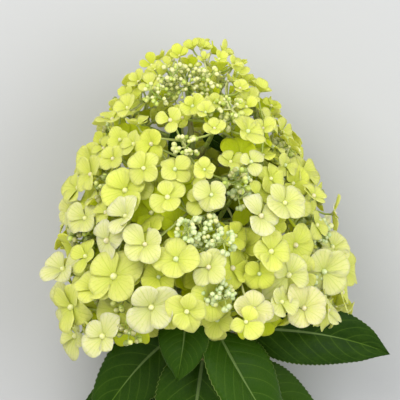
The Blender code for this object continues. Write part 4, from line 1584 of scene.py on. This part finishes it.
BARK_FLECK = (0.20, 0.11, 0.05, 1.0)
LEAF_CLOUD = (0.036, 0.085, 0.004, 1.0)
LEAF_NET = (0.07, 0.13, 0.010, 1.0)
LEAF_BESIDE_VEIN = (0.05, 0.11, 0.008, 1.0)
LEAF_VEIN = (0.15, 0.27, 0.030, 1.0)
LEAF_EDGE_TONE = (0.24, 0.32, 0.08, 1.0)
LEAF_BACK = (0.20, 0.28, 0.10, 1.0)
FLOOR_COLOUR = (0.52, 0.523, 0.535, 1.0)

# Where the fan of a sepal's veins starts, how many there are and how far they wander
FAN_ROOT = 1.22
FAN_VEINS = 17.0
FAN_WANDER = 0.22


class Finish:
    """One material, put together from plain steps on its node tree."""

    def __init__(self, name):
        self.material = bpy.data.materials.new(name)
        self.material.use_nodes = True
        self.tree = self.material.node_tree
        self.shader = self.tree.nodes["Principled BSDF"]

    def feed(self, socket, value):
        """Links a socket to another node's result, or sets its value."""
        if isinstance(value, bpy.types.NodeSocket):
            self.tree.links.new(value, socket)
        else:
            socket.default_value = value

    def math(self, operation, *values):
        """The result of one sum on values or sockets."""
        node = self.tree.nodes.new("ShaderNodeMath")
        node.operation = operation
        for socket, value in zip(node.inputs, values):
            self.feed(socket, value)
        return node.outputs[0]

    def times(self, first, second):
        """The product of two."""
        return self.math("MULTIPLY", first, second)

    def less(self, first, second):
        """The difference of two."""
        return self.math("SUBTRACT", first, second)

    def size(self, value):
        """A value without its sign."""
        return self.math("ABSOLUTE", value)

    def reach(self, along, across):
        """How far a place is from the middle of its tile."""
        squares = self.math("ADD", self.times(along, along), self.times(across, across))
        return self.math("POWER", squares, 0.5)

    def band(self, value, low, high, start=0.0, end=1.0):
        """A soft step from start to end while the value goes from low to high."""
        node = self.tree.nodes.new("ShaderNodeMapRange")
        node.interpolation_type = "SMOOTHSTEP"
        for socket, amount in zip(node.inputs, (value, low, high, start, end)):
            self.feed(socket, amount)
        return node.outputs[0]

    def mix(self, factor, first, second, blend="MIX"):
        """A colour between two, by a factor."""
        node = self.tree.nodes.new("ShaderNodeMix")
        node.data_type = "RGBA"
        node.blend_type = blend
        self.feed(node.inputs[0], factor)
        self.feed(node.inputs[6], first)
        self.feed(node.inputs[7], second)
        return node.outputs[2]

    def noise(self, place, scale, detail=2.0, roughness=0.5):
        """Noise over a place."""
        node = self.tree.nodes.new("ShaderNodeTexNoise")
        self.feed(node.inputs["Vector"], place)
        node.inputs["Scale"].default_value = scale
        node.inputs["Detail"].default_value = detail
        node.inputs["Roughness"].default_value = roughness
        return node.outputs[0]

    def cells(self, place, scale, feature):
        """The distance to the edge (DISTANCE_TO_EDGE) or the heart (F1) of small cells."""
        node = self.tree.nodes.new("ShaderNodeTexVoronoi")
        node.feature = feature
        self.feed(node.inputs["Vector"], place)
        node.inputs["Scale"].default_value = scale
        return node.outputs[0]

    def joined(self, *values):
        """A vector from three values."""
        node = self.tree.nodes.new("ShaderNodeCombineXYZ")
        for socket, value in zip(node.inputs, values):
            self.feed(socket, value)
        return node.outputs[0]

    def split(self, place):
        """The three values of a vector."""
        node = self.tree.nodes.new("ShaderNodeSeparateXYZ")
        self.feed(node.inputs[0], place)
        return node.outputs

    def object_place(self, *stretch):
        """Object coordinates, stretched for a grain that runs one way."""
        source = self.tree.nodes.new("ShaderNodeTexCoord")
        mapping = self.tree.nodes.new("ShaderNodeMapping")
        self.tree.links.new(source.outputs["Object"], mapping.inputs["Vector"])
        mapping.inputs["Scale"].default_value = stretch
        return mapping.outputs[0]

    def tile_place(self):
        """Where a face lies on its tile, from minus one to one each way, and the tile's number."""
        source = self.tree.nodes.new("ShaderNodeUVMap")
        source.uv_map = MAP_NAME
        along, across = self.split(source.outputs[0])[:2]
        along, across = (self.times(value, float(TILES)) for value in (along, across))
        across_tile = self.math("FLOOR", across)
        along_tile = self.math("FLOOR", along)
        number = self.math("MULTIPLY_ADD", across_tile, float(TILES), along_tile)
        places = []
        for value, foot in ((along, along_tile), (across, across_tile)):
            inside = self.less(self.less(value, foot), 0.5)
            places.append(self.math("DIVIDE", inside, TILE_REACH))
        return places[0], places[1], number

    def tint(self, number, tints):
        """The colour of a tile, by its number, the same for a shape's front and back."""
        ramp = self.tree.nodes.new("ShaderNodeValToRGB")
        ramp.color_ramp.interpolation = "CONSTANT"
        stops = ramp.color_ramp.elements
        for i, colour in enumerate(tints):
            stop = stops[i] if i < 2 else stops.new(i / TINTS)
            stop.position = i / TINTS
            stop.color = (*colour, 1.0)
        middle = self.math("ADD", self.math("MODULO", number, float(TINTS)), 0.5)
        self.feed(ramp.inputs[0], self.math("DIVIDE", middle, TINTS))
        return ramp.outputs[0]

    def behind(self, number):
        """One on the back of a shape and nought on its front."""
        return self.math("GREATER_THAN", number, TINTS - 0.5)

    def bump(self, height, strength, distance):
        """Roughens the surface by a height."""
        node = self.tree.nodes.new("ShaderNodeBump")
        node.inputs["Strength"].default_value = strength
        node.inputs["Distance"].default_value = distance
        self.feed(node.inputs["Height"], height)
        self.feed(self.shader.inputs["Normal"], node.outputs[0])

    def glow(self, weight, depth):
        """Lets light through thin growth, with a green and yellow cast."""
        self.shader.inputs["Subsurface Weight"].default_value = weight
        self.shader.inputs["Subsurface Scale"].default_value = depth
        self.shader.inputs["Subsurface Radius"].default_value = GLOW_CAST

    def surface(self, colour, roughness, **settings):
        """Sets the shader's colour, roughness and fixed amounts."""
        self.feed(self.shader.inputs["Base Color"], colour)
        self.feed(self.shader.inputs["Roughness"], roughness)
        for name, value in settings.items():
            self.shader.inputs[name.replace("_", " ")].default_value = value
        return self.material


def petal_veins(finish, along, across, spot):
    """A fan of fine veins from the foot of a sepal, with a line along its middle."""
    wander = finish.times(finish.less(finish.noise(spot, 3.5, 3.0), 0.5), FAN_WANDER)
    fan = finish.math("ARCTAN2", across, finish.math("ADD", along, FAN_ROOT))
    fan = finish.math("ADD", fan, wander)
    line = finish.size(finish.math("SINE", finish.times(fan, FAN_VEINS)))
    veins = finish.band(line, 0.0, 0.46, 1.0, 0.0)
    middle = finish.band(finish.size(across), 0.0, 0.06, 1.0, 0.0)
    return finish.math("MAXIMUM", finish.times(veins, 0.75), middle)


def petal_finish():
    """Soft petal: greener in the throat, fine veins in a fan, a paler rim, faint freckles and
    random patches of painted shade.
    """
    finish = Finish("petal")
    along, across, number = finish.tile_place()
    spot = finish.joined(along, across, number)
    vein = petal_veins(finish, along, across, spot)
    rim = finish.band(finish.reach(along, across), 0.30, 1.05, 0.0, 0.55)
    throat = finish.band(along, -1.0, 0.25, 1.0, 0.0)
    mottle = finish.noise(spot, 5.0, 4.0, 0.6)
    colour = finish.tint(number, SEPAL_TINTS)
    colour = finish.mix(finish.times(throat, 0.50), colour, PETAL_THROAT)
    colour = finish.mix(finish.times(vein, 0.36), colour, PETAL_VEIN)
    colour = finish.mix(rim, colour, PETAL_RIM, "DIVIDE")
    colour = finish.mix(finish.band(mottle, 0.45, 0.75, 0.0, 0.18), colour, PETAL_FRECKLE)
    # Random patches of painted shade, in a darker and deeper green
    colour = finish.mix(finish.band(mottle, 0.25, 0.5, 0.18, 0.0), colour, PETAL_PAINTED_SHADE)
    colour = finish.mix(finish.times(finish.behind(number), 0.30), colour, PETAL_BACK)
    finish.bump(finish.less(finish.times(mottle, 0.35), vein), 0.35, 0.0003)
    finish.glow(0.45, 0.0025)
    sheen = {"Sheen_Weight": 0.03, "Sheen_Roughness": 0.45}
    return finish.surface(colour, 0.55, Specular_IOR_Level=0.16, **sheen)


def bud_finish():
    """Closed buds: four seams that meet at a pale tip, and a greener foot."""
    finish = Finish("bud")
    along, across, number = finish.tile_place()
    down = finish.reach(along, across)
    turn = finish.math("ARCTAN2", across, along)
    seam = finish.size(finish.math("SINE", finish.times(turn, 2.0)))
    fade = finish.band(down, 0.05, 0.45, 1.0, 0.0)
    seam = finish.times(finish.band(seam, 0.0, 0.35, 1.0, 0.0), fade)
    colour = finish.tint(number, BUD_TINTS)
    colour = finish.mix(finish.band(down, 0.30, 0.95, 0.0, 0.55), colour, BUD_FOOT)
    colour = finish.mix(finish.times(seam, 0.35), colour, BUD_SEAM)
    colour = finish.mix(finish.band(down, 0.0, 0.16, 0.6, 0.0), colour, BUD_TIP)
    finish.bump(finish.times(seam, -1.0), 0.4, 0.0002)
    finish.glow(0.25, 0.001)
    return finish.surface(colour, 0.42, Specular_IOR_Level=0.4)


def twig_finish():
    """Green twigs: fine streaks along them and a browner start."""
    finish = Finish("twig")
    along, across, number = finish.tile_place()
    grain = finish.noise(finish.joined(along, finish.times(across, 6.0), number), 2.5, 3.0)
    colour = finish.tint(number, TWIG_TINTS)
    colour = finish.mix(finish.band(grain, 0.35, 0.75, 0.0, 0.45), colour, TWIG_STREAK)
    colour = finish.mix(finish.band(along, -1.0, -0.5, 0.35, 0.0), colour, TWIG_START)
    finish.bump(grain, 0.3, 0.0003)
    return finish.surface(colour, 0.5, Specular_IOR_Level=0.4)


def bark_finish():
    """The stem's skin: olive with paler streaks, brown flecks and patches of a woody tone."""
    finish = Finish("bark")
    streak = finish.noise(finish.object_place(420.0, 34.0, 420.0), 1.0, 4.0, 0.6)
    fleck = finish.cells(finish.object_place(300.0, 120.0, 300.0), 1.0, "F1")
    spot = finish.band(fleck, 0.12, 0.24, 1.0, 0.0)
    patch = finish.noise(finish.object_place(30.0, 14.0, 30.0), 1.0, 2.0)
    colour = finish.mix(finish.band(streak, 0.35, 0.7), BARK_OLIVE, BARK_STREAK)
    colour = finish.mix(finish.band(patch, 0.48, 0.72, 0.0, 0.7), colour, BARK_WOOD)
    colour = finish.mix(finish.times(spot, 0.7), colour, BARK_FLECK)
    finish.bump(finish.math("ADD", streak, finish.times(spot, 0.6)), 0.5, 0.0005)
    dullness = finish.band(streak, 0.2, 0.8, 0.5, 0.7)
    return finish.surface(colour, dullness, Specular_IOR_Level=0.4)


def leaf_vein_gap(finish, share, size):
    """How far a place on a leaf is from the nearest of its arching side veins."""
    bend = finish.times(finish.times(size, size), VEIN_BEND)
    arch = finish.math("ADD", bend, finish.times(size, VEIN_RISE))
    phase = finish.times(finish.less(share, arch), VEIN_PAIRS)
    off = finish.size(finish.less(finish.math("FRACT", phase), 0.5))
    return finish.less(0.5, off)


def leaf_finish():
    """Dark leaf: pale midrib and arching side veins, a net of fine veins and a lighter back."""
    finish = Finish("leaf")
    along, across, number = finish.tile_place()
    share = finish.math("MULTIPLY_ADD", along, 0.5, 0.5)
    size = finish.size(across)
    gap = leaf_vein_gap(finish, share, size)
    fade = finish.band(size, 0.55, 1.0, 0.50, 0.10)
    side_vein = finish.times(finish.band(gap, 0.008, 0.034, 1.0, 0.0), fade)
    vein = finish.math("MAXIMUM", side_vein, finish.band(size, 0.010, 0.028, 1.0, 0.0))
    spot = finish.joined(share, finish.times(across, 0.35), number)
    net = finish.band(finish.cells(spot, 42.0, "DISTANCE_TO_EDGE"), 0.0, 0.10, 1.0, 0.0)
    tone = finish.noise(spot, 7.0, 4.0, 0.6)
    colour = finish.tint(number, LEAF_TINTS)
    colour = finish.mix(finish.band(tone, 0.35, 0.75, 0.0, 0.5), colour, LEAF_CLOUD)
    colour = finish.mix(finish.times(net, 0.12), colour, LEAF_NET)
    colour = finish.mix(finish.band(gap, 0.0, 0.22, 0.18, 0.0), colour, LEAF_BESIDE_VEIN)
    colour = finish.mix(finish.times(vein, 0.60), colour, LEAF_VEIN)
    colour = finish.mix(finish.band(size, 0.975, 1.0, 0.0, 0.7), colour, LEAF_EDGE_TONE)
    colour = finish.mix(finish.times(finish.behind(number), 0.55), colour, LEAF_BACK)
    relief = finish.math("MULTIPLY_ADD", net, 0.35, vein)
    finish.bump(finish.less(finish.times(tone, 0.5), relief), 0.45, 0.0004)
    dullness = finish.band(tone, 0.3, 0.8, 0.34, 0.50)
    return finish.surface(colour, dullness, Specular_IOR_Level=0.08)


def floor_finish():
    """Plain, pale and dull."""
    return Finish("floor").surface(FLOOR_COLOUR, 0.9, Specular_IOR_Level=0.1)


# The studio: the floor, the even light of the world and two soft boxes
FLOOR_SIZE = 14.0
WORLD_LIGHT = 0.76
WORLD_COLOUR = (0.95, 0.96, 0.94, 1.0)
LIT_POINT = Vector((0.0, 0.05, 0.08))
SoftBox = namedtuple("SoftBox", "name place size power colour")
SOFT_BOXES = (
    SoftBox("key_light", Vector((-0.62, 0.75, 1.30)), 1.0, 14.8, (1.0, 0.985, 0.95)),
    SoftBox("fill_light", Vector((0.85, 0.20, 1.15)), 1.1, 9.5, (0.97, 0.99, 1.0)),
)
NEAREST_SEEN = 0.01
FARTHEST_SEEN = 50.0


def lay_floor():
    """The plain pale floor that the bloom lies on."""
    clear_selection()
    bpy.ops.mesh.primitive_plane_add(size=FLOOR_SIZE)
    floor = bpy.context.object
    floor.name = "floor"
    floor.data.materials.append(floor_finish())


def add_softbox(box):
    """A square soft light that points at the bloom."""
    clear_selection()
    bpy.ops.object.light_add(type="AREA", location=box.place)
    lamp = bpy.context.object
    lamp.name = box.name
    lamp.data.shape = "SQUARE"
    lamp.data.size = box.size
    lamp.data.energy = box.power
    lamp.data.color = box.colour
    lamp.rotation_euler = (LIT_POINT - box.place).to_track_quat("-Z", "Y").to_euler()
    lamp.visible_camera = False


def light_studio():
    """Soft light from above on both sides, with an even fill from all round."""
    world = bpy.data.worlds.new("studio")
    bpy.context.scene.world = world
    world.use_nodes = True
    back = world.node_tree.nodes["Background"]
    back.inputs["Color"].default_value = WORLD_COLOUR
    back.inputs["Strength"].default_value = WORLD_LIGHT
    for box in SOFT_BOXES:
        add_softbox(box)


def set_camera():
    """A long lens that looks straight down on the bloom, with its tip at the top."""
    clear_selection()
    distance = PICTURE_WIDTH * LENS / SENSOR
    place = CENTRE_SHIFT + Vector((PICTURE_ACROSS, PICTURE_ALONG, AXIS_HEIGHT + distance))
    bpy.ops.object.camera_add(location=place, rotation=(0.0, 0.0, 0.0))
    camera = bpy.context.object
    camera.name = "camera"
    camera.data.lens = LENS
    camera.data.sensor_width = SENSOR
    camera.data.clip_start = NEAREST_SEEN
    camera.data.clip_end = FARTHEST_SEEN
    bpy.context.scene.camera = camera


def main():
    """Dresses every node and sets the stage."""
    set_camera()
    lay_floor()
    light_studio()
    finishes = {
        "petal": petal_finish(),
        "bud": bud_finish(),
        "twig": twig_finish(),
        "bark": bark_finish(),
        "leaf": leaf_finish(),
    }
    growths, sprays = grow_bloom()
    join_bloom(growths, finishes)
    dress_stem(finishes)
    dress_branches(sprays, finishes)
    dress_leaves(finishes)
    bpy.context.scene.view_settings.view_transform = "Standard"


main()
